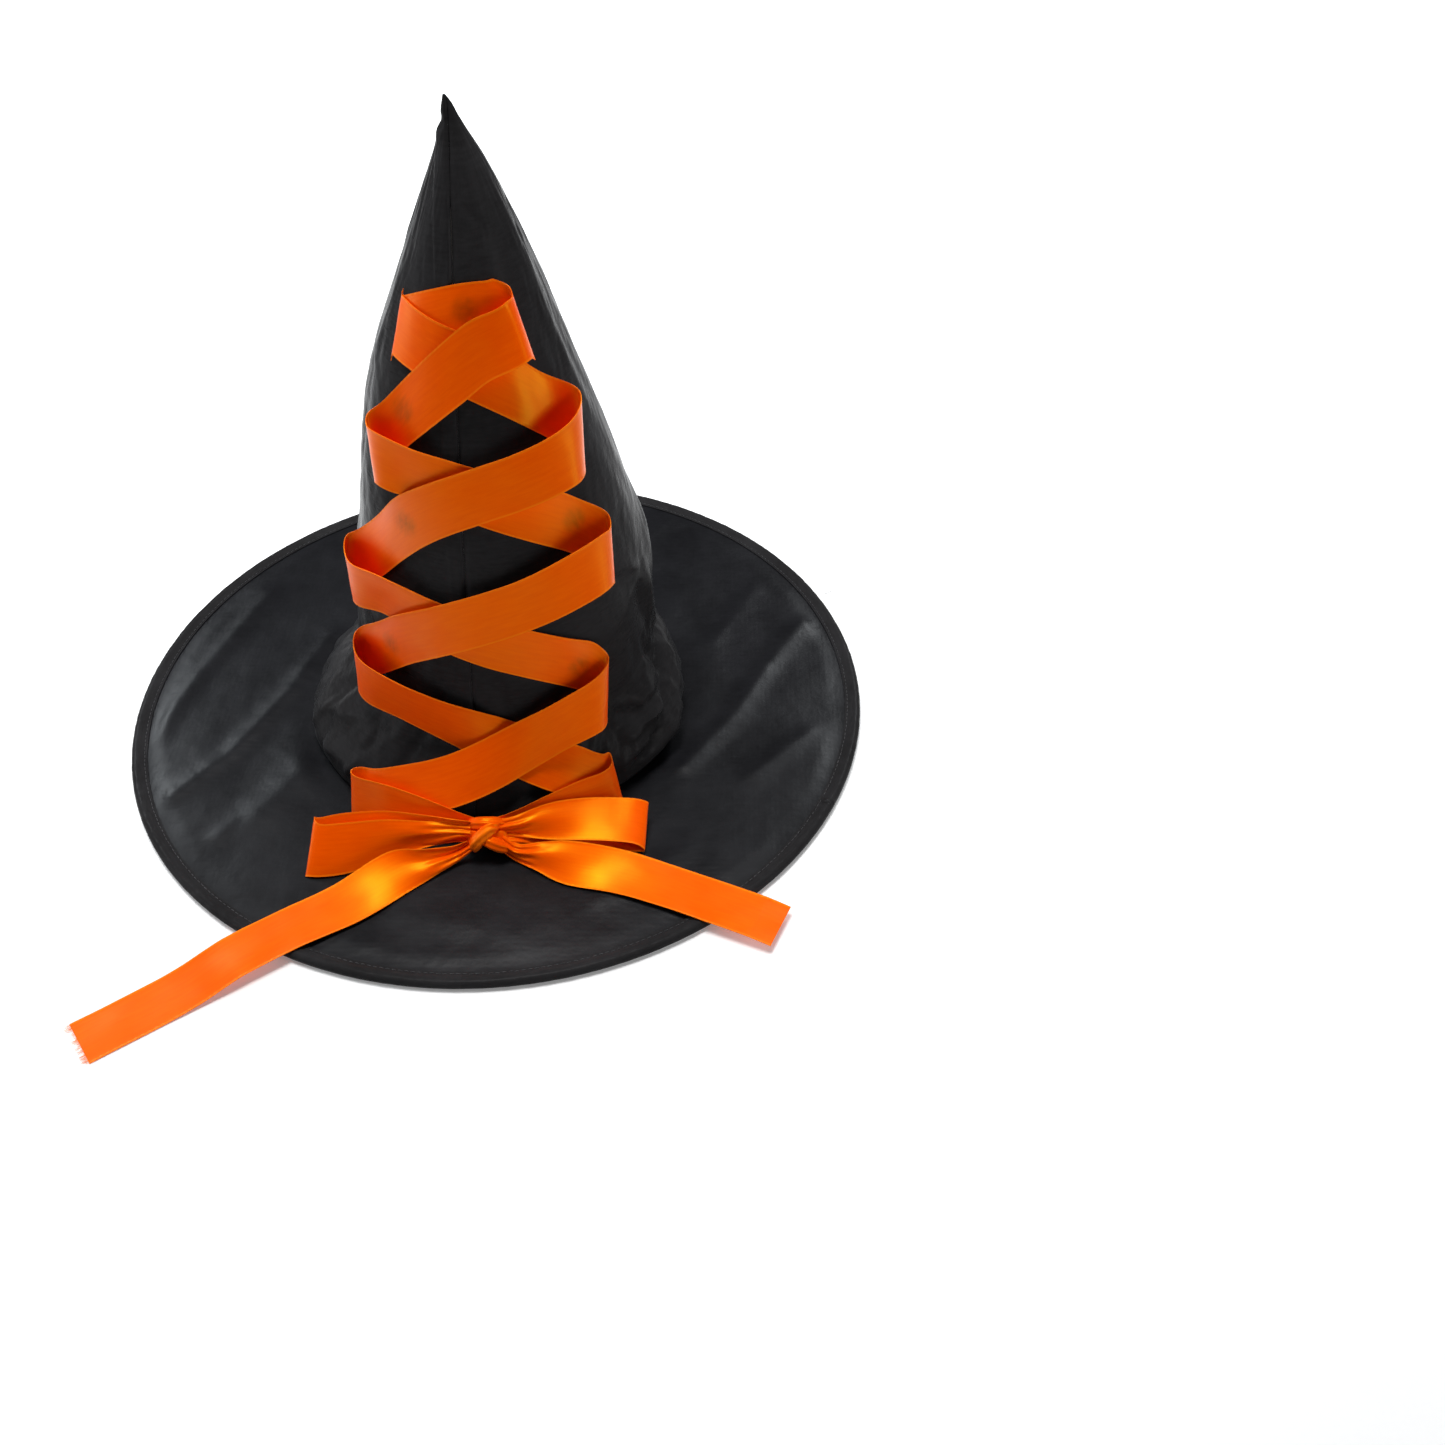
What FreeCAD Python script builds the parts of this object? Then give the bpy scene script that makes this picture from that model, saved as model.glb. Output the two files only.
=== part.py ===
"""Witch hat of black satin, laced up the front with one length of orange ribbon that ends in a bow.

Millimetres. The origin is the centre of the head opening, in the plane that the brim rests on.
+Z is up and the laced front faces -Y. Every piece is a solid of its own, in a STEP of its own.
"""
import FreeCAD, Part
import math
import os

Vector = FreeCAD.Vector

# ---- driving dimensions: brim and head opening ----
BRIM_RADIUS = 190.0           # to the outside of the wired edge
HEAD_RADIUS = 88.0            # inside of the sweatband, a 55 to 56 cm head
SWEATBAND_THICKNESS = 0.8
SWEATBAND_TOP = 20.0
FABRIC = 0.4                  # brim fabric
UNDERSIDE_BOTTOM = 0.6
INTERLINING_BOTTOM = 1.2
INTERLINING_TOP = 2.8
TOP_FABRIC_BOTTOM = 3.0
LAYER_GAP = 0.2               # between nested layers that are sewn, not bonded
HEM_WIDTH = 8.0               # width of the folded channel round the edge
HEM_ROLL = 2.6                # radius of the channel round the hoop
HEM_LIP = 0.5
HEM_INNER_HEIGHT = 4.2
HOOP_WIRE = 1.2               # wire radius
HOOP_GAP_DEG = 0.2            # the hoop's ends almost meet inside the joiner
JOINER_OUTER = 1.7
JOINER_INNER = 1.25
JOINER_LENGTH = 14.0
JOINER_ANGLE_DEG = -25.0      # where the hem is joined, right of the front
CHANNEL_RADIUS = 1.85

# ---- driving dimensions: crown ----
CROWN_HEIGHT = 325.0
CROWN_BASE = 3.6
CROWN_RADIUS = (  # height, radius: a puffed roll at the base, then a slightly full cone
    (0, 96.5), (12, 96), (28, 88.3), (50, 74), (75, 72.4), (100, 70.2), (130, 63.8), (160, 57.8),
    (190, 50.2), (220, 40.7), (250, 30.3), (275, 20.6), (297, 11.5), (312, 5), (325, 0.8))
CROWN_AXIS_X = (  # height, sideways lean of the centre line
    (0, -2), (60, 8.3), (120, 10.6), (200, 8), (300, 11.9), (325, 10))
PANEL_THICKNESS = 0.6
STIFFENER_INSET = 0.9         # from the outside of the panels to the stiffener
STIFFENER_THICKNESS = 0.8
SEAM_X_BASE = -3.0            # front and back seams lie in one plane that leans with the crown
SEAM_X_TOP = 11.0
TIP_HINGE_HEIGHT = 281.0      # where the unstiffened tip flops
TIP_GAP = 3.0                 # each side of the hinge
TIP_HOLLOW_TOP = 303.0
SECTION_STEP = 6.0            # between the crown's lofted circles

# ---- driving dimensions: ribbon ----
RIBBON_WIDTH = 25.0
RIBBON_THICKNESS = 0.5
SECTIONS_PER_STATION = 3
TURN_UPRIGHT_STANDOFF = 8.0   # past this stand-off a turn's fold line is upright
GLUE_RADIUS = 4.0
GLUE_BOTTOM = 0.15
GLUE_THICKNESS = 0.35

# Stations of the lacing: angle round the crown from the front, height, stand-off, lean.
# Each strand starts in front, where it leaves a turn, and ends glued at the back of the next turn.
LACING_UNDER_1 = ((-46, 238, 1.8, 0), (-22, 234, 2.2, 2), (5, 227.5, 2.2, 0), (30, 216, 1.8, 0),
                  (46, 204, 1.6, 0), (55, 197, 4.5, 0))
LACING_OVER_2 = ((55, 197, 4.9, 0), (56, 193, 10, -4), (48, 190, 15, -6), (36, 186, 13, 0), (20, 180.5, 8, 2),
                 (4, 175.5, 5.2, 2), (-15, 167.5, 4.6, 5), (-32, 155, 3.4, 6), (-46, 139, 2.2, 0),
                 (-57, 126, 4, 0))
LACING_UNDER_3 = ((-57, 126, 4.4, 0), (-61, 120, 9, 4), (-54, 117, 11.5, 12), (-42, 117, 5.5, 20),
                  (-24, 111, 2.2, 6), (-4, 104, 1.9, 0), (14, 95, 1.8, 0), (28, 85, 2, 0), (38, 76, 3.6, -6),
                  (41, 69, 8, -12))
LACING_OVER_4 = ((41, 69, 8.4, -12), (39, 66, 13, -18), (34, 63, 14, -18), (24, 57, 11.5, -10), (10, 47, 10, 0),
                 (-8, 35, 9, 0), (-22, 25.5, 7, 0), (-33, 18, 6, 0), (-39, 15, 5, -10))
LACING_TOP = ((-46, 238, 1.0, 0), (-20, 244, 1.1, 0), (5, 247.5, 1.2, 0), (26, 247, 1.6, 0), (38, 244, 4.5, 0))
LACING_OVER_1 = ((38, 244, 4.9, 0), (40, 242, 8, 0), (34, 242, 11, -4), (26, 239.5, 9.5, 0), (12, 235, 6.5, 3),
                 (-3, 227, 4.9, 2), (-20, 215, 3.4, 2), (-35, 202, 2.2, 0), (-43, 192, 4.5, 0))
LACING_UNDER_2 = ((-43, 192, 4.9, 0), (-45, 188, 9, 2), (-38, 187.5, 11, 4), (-25, 182.5, 4.9, 16),
                  (-10, 177.5, 2, 6), (6, 172, 1.9, 0), (22, 164, 1.8, 0), (38, 153.5, 1.6, 0),
                  (48, 144, 3, 0), (52, 138, 8, -4))
LACING_OVER_3 = ((52, 138, 8.4, -4), (50, 136, 13, -8), (45, 136, 15, -10), (32, 131.5, 12, -4), (15, 123.5, 7.2, 2),
                 (-1, 117, 5.4, 2), (-16, 109.5, 5, 4), (-32, 98, 3.8, 6), (-46, 83, 2.4, 0), (-55, 74, 5, 0))
LACING_UNDER_4 = ((-55, 74, 5.4, 0), (-55, 69, 10, 0), (-47, 67, 12.5, 0), (-34, 63.5, 8, 8), (-18, 57.5, 5.2, 4),
                  (-4, 51, 5, 0), (12, 41, 4.8, 0), (26, 30, 3.6, 0), (34, 21.5, 2.2, 0), (40, 17, 1.6, 0))
GLUE_SPOTS = ((5, 249), (50, 203), (-33, 206), (43, 152), (-30, 157), (33, 80), (-40, 90))

# Stations of the bow: centre of the ribbon, direction across it, width.
LEG_LEFT = (((-66, -83.5, 14.5), (0, 0.5, 0.87), 21), ((-50, -92.5, 16.5), (0.1, 0.45, 0.88), 21),
            ((-34, -99, 18), (0.05, 0.4, 0.91), 18), ((-20, -101.5, 19.5), (0, 0.35, 0.94), 13),
            ((-8, -101.5, 20), (0, 0.3, 0.95), 9))
LEG_RIGHT = (((65, -81, 15.5), (-0.1, 0.3, 0.94), 22), ((50, -89, 16.5), (0, 0.38, 0.92), 21),
             ((36, -93.5, 18), (0, 0.38, 0.92), 17), ((25, -97, 19), (0, 0.35, 0.94), 13),
             ((15, -99, 19.5), (0, 0.3, 0.95), 9))
LOOP_LEFT = (((-11, -107, 18), (0, 0.45, 0.89), 8), ((-26, -106.5, 16.5), (0.03, 0.55, 0.83), 13),
             ((-44, -107.5, 14.6), (0.08, 0.6, 0.8), 19), ((-62, -110, 14.2), (0.13, 0.65, 0.75), 22),
             ((-75, -113.4, 14.2), (0.15, 0.66, 0.73), 22), ((-79, -115.6, 14.2), (0.16, 0.67, 0.72), 22),
             ((-75, -117.4, 14.2), (0.15, 0.66, 0.73), 22), ((-62, -114.4, 14.2), (0.13, 0.65, 0.75), 22),
             ((-44, -110.6, 14.4), (0.08, 0.6, 0.8), 17), ((-26, -109.2, 15.4), (0.03, 0.5, 0.86), 11),
             ((-11, -109.2, 15.4), (0, 0.45, 0.89), 8))
LOOP_RIGHT = (((19, -106, 18), (0, 0.5, 0.86), 8), ((33, -103, 18), (0, 0.8, 0.6), 14),
              ((48, -101, 16.4), (0, 0.96, 0.27), 18), ((64, -99.5, 15), (0.02, 0.99, 0.12), 21),
              ((76, -99.5, 13.4), (0.04, 0.97, 0.2), 21), ((80.5, -99.8, 10), (0.05, 0.96, 0.24), 21),
              ((76, -99.7, 7), (0.04, 0.99, 0.08), 21), ((62, -99.7, 5.6), (0.02, 1, 0), 20),
              ((46, -102, 6.4), (0, 1, 0.05), 15), ((32, -105.2, 9.5), (0, 0.85, 0.5), 11),
              ((19, -108, 14.6), (0, 0.6, 0.8), 8))
TAIL_LEFT = (((-10.5, -116, 8.5), (-0.4, 0.5, 0.77), 7), ((-22, -121.5, 10.3), (-0.45, 0.62, 0.64), 15),
             ((-36, -127.5, 9.2), (-0.52, 0.75, 0.4), 22), ((-58, -144, 6.6), (-0.58, 0.81, 0.08), 25),
             ((-82, -158.8, 6.2), (-0.58, 0.81, 0), 25), ((-102, -172.8, 6), (-0.58, 0.81, 0), 25))
TAIL_LEFT_END = (((-102.4, -173.1, 5.9), (-0.58, 0.81, 0), 25), ((-110, -178.8, 4.6), (-0.58, 0.81, 0), 25),
                 ((-122, -187.6, 1.8), (-0.58, 0.81, 0), 25), ((-136, -197.6, 0.6), (-0.58, 0.81, 0), 25),
                 ((-163, -217, 0.5), (-0.58, 0.81, 0), 25))
TAIL_RIGHT = (((18.5, -115.5, 8.5), (0.3, 0.5, 0.8), 7), ((30, -118.8, 10.2), (0.25, 0.75, 0.6), 14),
              ((43.5, -122.5, 9.8), (0.15, 0.87, 0.46), 21), ((68, -126.5, 7.6), (0.3, 0.94, 0.14), 24),
              ((92, -134.8, 6.3), (0.4, 0.915, 0), 25), ((128, -150.7, 6.1), (0.404, 0.915, 0), 25))
TAIL_RIGHT_END = (((128.4, -150.9, 6.0), (0.404, 0.915, 0), 25), ((135.5, -154, 5.4), (0.404, 0.915, 0), 25),
                  ((143.5, -157.6, 4.2), (0.404, 0.915, 0), 25))
KNOT_CENTRE = (4, -108.5, 14)
KNOT_HALF_WIDTH = 10.5
KNOT_HALF_HEIGHT = 8.0


# ---- vectors and curves ----

def plus(a, b, scale=1.0):
    """Point a moved by b times scale."""
    return tuple(x + scale * y for x, y in zip(a, b))


def minus(a, b):
    return tuple(x - y for x, y in zip(a, b))


def dot(a, b):
    return sum(x * y for x, y in zip(a, b))


def cross(a, b):
    return (a[1] * b[2] - a[2] * b[1], a[2] * b[0] - a[0] * b[2], a[0] * b[1] - a[1] * b[0])


def unit(a):
    length = math.sqrt(dot(a, a))
    return tuple(x / length for x in a)


def through(table, x):
    """Smooth curve through (x, value) rows that never overshoots them."""
    last = len(table) - 1
    x = min(max(x, table[0][0]), table[-1][0])
    k = max(i for i in range(last) if table[i][0] <= x)

    def rise(i):
        return (table[i + 1][1] - table[i][1]) / (table[i + 1][0] - table[i][0])

    def slope(i):
        if i == 0 or i == last:
            return rise(min(i, last - 1))
        before, after = rise(i - 1), rise(i)
        return 0 if before * after <= 0 else 2 * before * after / (before + after)

    (x0, y0), (x1, y1) = table[k], table[k + 1]
    t = (x - x0) / (x1 - x0)
    start = (2 * t ** 3 - 3 * t ** 2 + 1) * y0 + (t ** 3 - 2 * t ** 2 + t) * slope(k) * (x1 - x0)
    end = (3 * t ** 2 - 2 * t ** 3) * y1 + (t ** 3 - t ** 2) * slope(k + 1) * (x1 - x0)
    return start + end


def smooth_rows(rows, steps):
    """Catmull-Rom curve through rows of numbers, with steps points for each row."""
    made = []
    for i in range(len(rows) - 1):
        nearby = (rows[max(i - 1, 0)], rows[i], rows[i + 1], rows[min(i + 2, len(rows) - 1)])
        for k in range(steps):
            t = k / steps
            made.append(tuple(
                0.5 * (2 * b + (c - a) * t + (2 * a - 5 * b + 4 * c - d) * t ** 2 + (3 * b - a - 3 * c + d) * t ** 3)
                for a, b, c, d in zip(*nearby)))
    made.append(tuple(rows[-1]))
    return made


# ---- the crown's shape ----

def crown_radius(z):
    return through(CROWN_RADIUS, z)


def crown_axis(z):
    return through(CROWN_AXIS_X, z)


def crown_point(angle_deg, z, standoff):
    """Point at that stand-off from the crown; angle 0 is the front and positive angles are to +X."""
    angle = math.radians(angle_deg)
    radius = crown_radius(z) + standoff
    return (crown_axis(z) + radius * math.sin(angle), -radius * math.cos(angle), z)


def up_the_side(angle_deg, z, lean_deg):
    """Direction up the crown's side; lean tips its top away from the crown."""
    angle, lean = math.radians(angle_deg), math.radians(lean_deg)
    reach = 6.0
    low = crown_point(angle_deg, max(z - reach, 0), 0)
    high = crown_point(angle_deg, min(z + reach, CROWN_HEIGHT), 0)
    up = unit(minus(high, low))
    out = (math.sin(angle), -math.cos(angle), 0.0)
    out = unit(plus(out, up, -dot(out, up)))
    return unit(tuple(math.cos(lean) * u + math.sin(lean) * o for u, o in zip(up, out)))


def crown_solid(inset, low, high):
    """Solid inside the crown's surface moved inwards by inset, from height low to high.

    The sections between its ends are at the same heights for every layer, so that layers nest.
    """
    between = [k * SECTION_STEP for k in range(1, math.ceil(CROWN_HEIGHT / SECTION_STEP))]
    heights = [low] + [z for z in between if low + SECTION_STEP / 3 < z < high - SECTION_STEP / 3] + [high]
    wires = []
    for z in heights:
        radius = max(crown_radius(z) - inset, 0.3)
        circle = Part.Circle(Vector(crown_axis(z), 0, z), Vector(0, 0, 1), radius)
        wires.append(Part.Wire([circle.toShape()]))
    return Part.makeLoft(wires, True, True)


def crown_skin(inset, thickness, low, high):
    """Hollow layer of the crown, open at both ends."""
    return crown_solid(inset, low, high).cut(crown_solid(inset + thickness, low, high))


def seam_side(side):
    """Large block on one side (-1 left, 1 right) of the plane of the front and back seams."""
    size = 600.0
    block = Part.makeBox(size, size, size, Vector(0 if side > 0 else -size, -size / 2, -size / 2))
    lean = math.degrees(math.atan2(SEAM_X_TOP - SEAM_X_BASE, CROWN_HEIGHT))
    block.rotate(Vector(0, 0, 0), Vector(0, 1, 0), lean)
    block.translate(Vector(SEAM_X_BASE, 0, 0))
    return block


def crown_panel(side):
    skin = crown_skin(0, PANEL_THICKNESS, CROWN_BASE, TIP_HINGE_HEIGHT - TIP_GAP)
    return skin.common(seam_side(side))


def crown_stiffener():
    return crown_skin(STIFFENER_INSET, STIFFENER_THICKNESS, CROWN_BASE, TIP_HINGE_HEIGHT - TIP_GAP - 6)


def crown_tip():
    low = TIP_HINGE_HEIGHT + TIP_GAP
    outside = crown_solid(0, low, CROWN_HEIGHT)
    return outside.cut(crown_solid(PANEL_THICKNESS, low, TIP_HOLLOW_TOP))


# ---- brim ----

def ring(inner, outer, bottom, top):
    base = Vector(0, 0, bottom)
    return Part.makeCylinder(outer, top - bottom, base).cut(Part.makeCylinder(inner, top - bottom, base))


def brim_layer(bottom, thickness):
    inner = HEAD_RADIUS + SWEATBAND_THICKNESS + LAYER_GAP
    outer = BRIM_RADIUS - HEM_WIDTH + 3.0
    return ring(inner, outer, bottom, bottom + thickness)


def hem_outline():
    """Section of the folded hem: a flat band that ends in a roll round the hoop."""
    roll_x = BRIM_RADIUS - HEM_ROLL
    inner_x = BRIM_RADIUS - HEM_WIDTH
    bottom_left = Vector(inner_x, 0, 0)
    bottom_right = Vector(roll_x, 0, 0)
    outermost = Vector(BRIM_RADIUS, 0, HEM_ROLL)
    top_right = Vector(roll_x, 0, 2 * HEM_ROLL)
    top_left = Vector(inner_x, 0, HEM_INNER_HEIGHT)
    return Part.Wire([
        Part.LineSegment(bottom_left, bottom_right).toShape(),
        Part.Arc(bottom_right, outermost, top_right).toShape(),
        Part.LineSegment(top_right, top_left).toShape(),
        Part.LineSegment(top_left, bottom_left).toShape()])


def hoop_radius():
    return BRIM_RADIUS - HEM_ROLL


def hoop_torus(section_radius, start_deg, sweep_deg):
    centre = Vector(0, 0, HEM_ROLL)
    torus = Part.makeTorus(hoop_radius(), section_radius, centre, Vector(0, 0, 1), 0, 360, sweep_deg)
    torus.rotate(centre, Vector(0, 0, 1), start_deg)
    return torus


def brim_edge_binding():
    body = Part.Face(hem_outline()).revolve(Vector(0, 0, 0), Vector(0, 0, 1), 360)
    slot = ring(BRIM_RADIUS - HEM_WIDTH - 1, BRIM_RADIUS - HEM_WIDTH + 3.2, HEM_LIP, TOP_FABRIC_BOTTOM + FABRIC + 0.1)
    return body.cut(slot).cut(hoop_torus(CHANNEL_RADIUS, 0, 360))


def brim_hoop_wire():
    return hoop_torus(HOOP_WIRE, JOINER_ANGLE_DEG + HOOP_GAP_DEG / 2, 360 - HOOP_GAP_DEG)


def hoop_joiner():
    sweep = math.degrees(JOINER_LENGTH / hoop_radius())
    start = JOINER_ANGLE_DEG - sweep / 2
    bore = hoop_torus(JOINER_INNER, start - 1, sweep + 2)
    return hoop_torus(JOINER_OUTER, start, sweep).cut(bore)


def sweatband():
    return ring(HEAD_RADIUS, HEAD_RADIUS + SWEATBAND_THICKNESS, 0, SWEATBAND_TOP)


# ---- ribbon ----

def strip_solid(centres, acrosses, widths):
    """Ribbon through these centres. Widths are measured square to the ribbon, whatever way its fold lines lean."""
    wires = []
    last = len(centres) - 1
    for i, (centre, across, width) in enumerate(zip(centres, acrosses, widths)):
        along = unit(minus(centres[min(i + 1, last)], centres[max(i - 1, 0)]))
        slant = dot(along, across)
        half = 0.5 * width / math.sqrt(1 - slant ** 2)
        face = unit(cross(along, across))
        corners = []
        for side, depth in ((-1, -1), (1, -1), (1, 1), (-1, 1)):
            edge = plus(centre, across, side * half)
            corners.append(Vector(*plus(edge, face, depth * RIBBON_THICKNESS / 2)))
        wires.append(Part.makePolygon(corners + corners[:1]))
    return Part.makeLoft(wires, True, False)


def lacing_strand(stations):
    """Strand laid round the crown. Where it is glued its fold lines follow the crown; in a turn they are upright."""
    centres, acrosses = [], []
    for angle, z, standoff, lean in smooth_rows(stations, SECTIONS_PER_STATION):
        upright = max(0.0, 1 - standoff / TURN_UPRIGHT_STANDOFF)
        centres.append(crown_point(angle, z, standoff))
        acrosses.append(up_the_side(angle * upright, z, lean))
    return strip_solid(centres, acrosses, [RIBBON_WIDTH] * len(centres))


def bow_strand(stations):
    rows = smooth_rows([centre + across + (width,) for centre, across, width in stations], SECTIONS_PER_STATION)
    return strip_solid([row[0:3] for row in rows], [unit(row[3:6]) for row in rows], [row[6] for row in rows])


def bow_knot():
    half = Part.Ellipse(Vector(0, 0, 0), KNOT_HALF_WIDTH, KNOT_HALF_HEIGHT)
    arc = half.toShape(0, math.pi)
    chord = Part.LineSegment(Vector(-KNOT_HALF_WIDTH, 0, 0), Vector(KNOT_HALF_WIDTH, 0, 0)).toShape()
    knot = Part.Face(Part.Wire([arc, chord])).revolve(Vector(0, 0, 0), Vector(1, 0, 0), 360)
    knot.translate(Vector(*KNOT_CENTRE))
    return knot


def glue_dots():
    """Flat blobs of glue between the crown and the lacing."""
    dots = []
    for angle, z in GLUE_SPOTS:
        up = up_the_side(angle, z, 0)
        out = Vector(*up_the_side(angle, z, 90))
        foot = Vector(*crown_point(angle, z, 0)) + out * GLUE_BOTTOM
        dots.append(Part.makeCylinder(GLUE_RADIUS, GLUE_THICKNESS, foot, out))
    return Part.makeCompound(dots)


# ---- every piece by its node name ----

def pieces():
    made = {
        "crown_panel_left": crown_panel(-1),
        "crown_panel_right": crown_panel(1),
        "crown_stiffener": crown_stiffener(),
        "crown_tip": crown_tip(),
        "brim_top_fabric": brim_layer(TOP_FABRIC_BOTTOM, FABRIC),
        "brim_interlining": brim_layer(INTERLINING_BOTTOM, INTERLINING_TOP - INTERLINING_BOTTOM),
        "brim_underside_fabric": brim_layer(UNDERSIDE_BOTTOM, FABRIC),
        "brim_edge_binding": brim_edge_binding(),
        "brim_hoop_wire": brim_hoop_wire(),
        "hoop_joiner": hoop_joiner(),
        "sweatband": sweatband(),
        "glue_dots": glue_dots(),
        "bow_knot": bow_knot(),
    }
    lacing = {
        "lacing_top": LACING_TOP,
        "lacing_over_1": LACING_OVER_1, "lacing_under_1": LACING_UNDER_1,
        "lacing_over_2": LACING_OVER_2, "lacing_under_2": LACING_UNDER_2,
        "lacing_over_3": LACING_OVER_3, "lacing_under_3": LACING_UNDER_3,
        "lacing_over_4": LACING_OVER_4, "lacing_under_4": LACING_UNDER_4,
    }
    bow = {
        "bow_leg_left": LEG_LEFT, "bow_leg_right": LEG_RIGHT,
        "bow_loop_left": LOOP_LEFT, "bow_loop_right": LOOP_RIGHT,
        "tail_left": TAIL_LEFT, "tail_left_end": TAIL_LEFT_END,
        "tail_right": TAIL_RIGHT, "tail_right_end": TAIL_RIGHT_END,
    }
    made.update((name, lacing_strand(stations)) for name, stations in lacing.items())
    made.update((name, bow_strand(stations)) for name, stations in bow.items())
    return made


def main():
    os.makedirs("parts", exist_ok=True)
    for name, shape in pieces().items():
        box = shape.BoundBox
        print(f"{name:24s} valid {shape.isValid()} solids {len(shape.Solids)} volume {shape.Volume:9.1f} "
              f"z {box.ZMin:7.2f} to {box.ZMax:7.2f}")
        shape.exportStep(os.path.join("parts", name + ".step"))


main()
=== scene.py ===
"""The witch hat's looks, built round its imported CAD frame.

Lengths are millimetres unless they say m. phi is the angle round the crown in degrees: 0 is the front, and positive
angles are to +X.
"""
import math
import bmesh
import bpy
import numpy as np
from mathutils import Matrix, Vector, noise


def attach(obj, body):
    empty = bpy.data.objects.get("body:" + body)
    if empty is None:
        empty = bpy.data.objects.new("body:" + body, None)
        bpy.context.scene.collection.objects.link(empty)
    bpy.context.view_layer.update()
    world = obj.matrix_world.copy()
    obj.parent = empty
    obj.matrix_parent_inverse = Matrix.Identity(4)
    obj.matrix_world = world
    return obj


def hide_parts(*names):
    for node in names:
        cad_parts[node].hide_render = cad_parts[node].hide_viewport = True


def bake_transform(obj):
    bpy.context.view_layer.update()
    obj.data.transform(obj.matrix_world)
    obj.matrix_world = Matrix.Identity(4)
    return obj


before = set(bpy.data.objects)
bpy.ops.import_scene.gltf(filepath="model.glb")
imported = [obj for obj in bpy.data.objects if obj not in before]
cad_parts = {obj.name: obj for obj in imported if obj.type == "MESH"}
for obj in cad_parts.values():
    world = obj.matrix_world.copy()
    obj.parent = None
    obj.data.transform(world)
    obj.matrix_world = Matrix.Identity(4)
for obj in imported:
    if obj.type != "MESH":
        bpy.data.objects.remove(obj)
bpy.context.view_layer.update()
MM = 0.001
RIBBON_WIDTH = 25.0
# Thicknesses of the cloth. The ribbon is thicker at its woven edges, from this share of its half width on.
SATIN_THICK, FELT_THICK, BRIM_CLOTH_THICK, TAPE_THICK = 0.4, 0.8, 0.36, 0.55
RIBBON_THICK, RIBBON_EDGE_THICK, RIBBON_EDGE_FROM = 0.28, 0.38, 0.95
SHARP_ANGLE = 50   # degrees between faces, above which their edge looks sharp
rng = np.random.default_rng(7)


# ---- curves and fields ----

def table_curve(rows):
    """Smooth curve through (x, value) rows that never overshoots them."""
    xs, ys = np.array(rows, float).T
    rise = np.diff(ys) / np.diff(xs)
    slope = np.zeros_like(ys)
    slope[0], slope[-1] = rise[0], rise[-1]
    before, after = rise[:-1], rise[1:]
    same_way = before * after > 0
    slope[1:-1][same_way] = (2 * before * after / np.where(same_way, before + after, 1))[same_way]

    def curve(x):
        x = np.clip(x, xs[0], xs[-1])
        k = np.clip(np.searchsorted(xs, x, side="right") - 1, 0, len(xs) - 2)
        step = xs[k + 1] - xs[k]
        t = (x - xs[k]) / step
        start = (2 * t**3 - 3 * t**2 + 1) * ys[k] + (t**3 - 2 * t**2 + t) * slope[k] * step
        return start + (3 * t**2 - 2 * t**3) * ys[k + 1] + (t**3 - t**2) * slope[k + 1] * step
    return curve


def smooth_rows(rows, steps):
    """Catmull-Rom curve through rows of numbers, with steps points for each row."""
    rows = np.array(rows, float)
    padded = np.vstack([rows[:1], rows, rows[-1:]])
    t = (np.arange(steps) / steps)[:, None]
    made = []
    for a, b, c, d in zip(padded[:-3], padded[1:-2], padded[2:-1], padded[3:]):
        made.append(0.5 * (2 * b + (c - a) * t + (2 * a - 5 * b + 4 * c - d) * t**2
                           + (3 * b - a - 3 * c + d) * t**3))
    return np.vstack(made + [rows[-1:]])


def smoothstep(low, high, x):
    """0 at low, 1 at high and smooth between them; low may be the larger one."""
    t = np.clip((x - low) / (high - low), 0, 1)
    return t * t * (3 - 2 * t)


def unit(a):
    """Vectors made 1 long."""
    return a / np.maximum(np.linalg.norm(a, axis=-1, keepdims=True), 1e-9)


def length_along(path):
    """Length from a path's start to each of its points."""
    return np.concatenate([[0], np.cumsum(np.linalg.norm(np.diff(path, axis=0), axis=1))])


def stack(*parts):
    """Points from their coordinates, which may be of different shapes."""
    return np.stack(np.broadcast_arrays(*parts), -1)


def noise_at(points):
    """Smooth noise, about -1 to 1, at each point of an array."""
    flat = np.asarray(points, float).reshape(-1, 3).tolist()
    return np.array([noise.noise(p) for p in flat]).reshape(np.shape(points)[:-1])


# ---- the crown's shape ----

# Radius of the crown and the place of its axis along X, by height.
crown_radius = table_curve((
    (0, 96.5), (12, 96), (28, 88.3), (50, 74), (75, 72.4), (100, 70.2), (130, 63.8), (160, 57.8),
    (190, 50.2), (220, 40.7), (250, 30.3), (275, 20.6), (297, 11.5), (312, 5), (325, 0.8)))
crown_axis = table_curve(((0, -2), (60, 8.3), (120, 10.6), (200, 8), (300, 11.9), (325, 10)))
# Radius of the tuck where the crown is sewn to the brim, from FOOT_Z to TUCK_TOP.
crown_foot = table_curve(((3.6, 91), (4.0, 93), (5.0, 95), (6.6, 96), (8.5, 96.3), (12, 96)))
FOOT_Z, TUCK_TOP, CROWN_HEIGHT = 3.6, 12, 325.0
# X of the front and back seams at the crown's foot and at its top.
SEAM_X_BASE, SEAM_X_TOP = -3.0, 11.0
# Spots of hot glue under the ribbon: phi and height.
GLUE_SPOTS = ((5, 249), (50, 203), (-33, 206), (43, 152), (-30, 157), (33, 80), (-40, 90))

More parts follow.
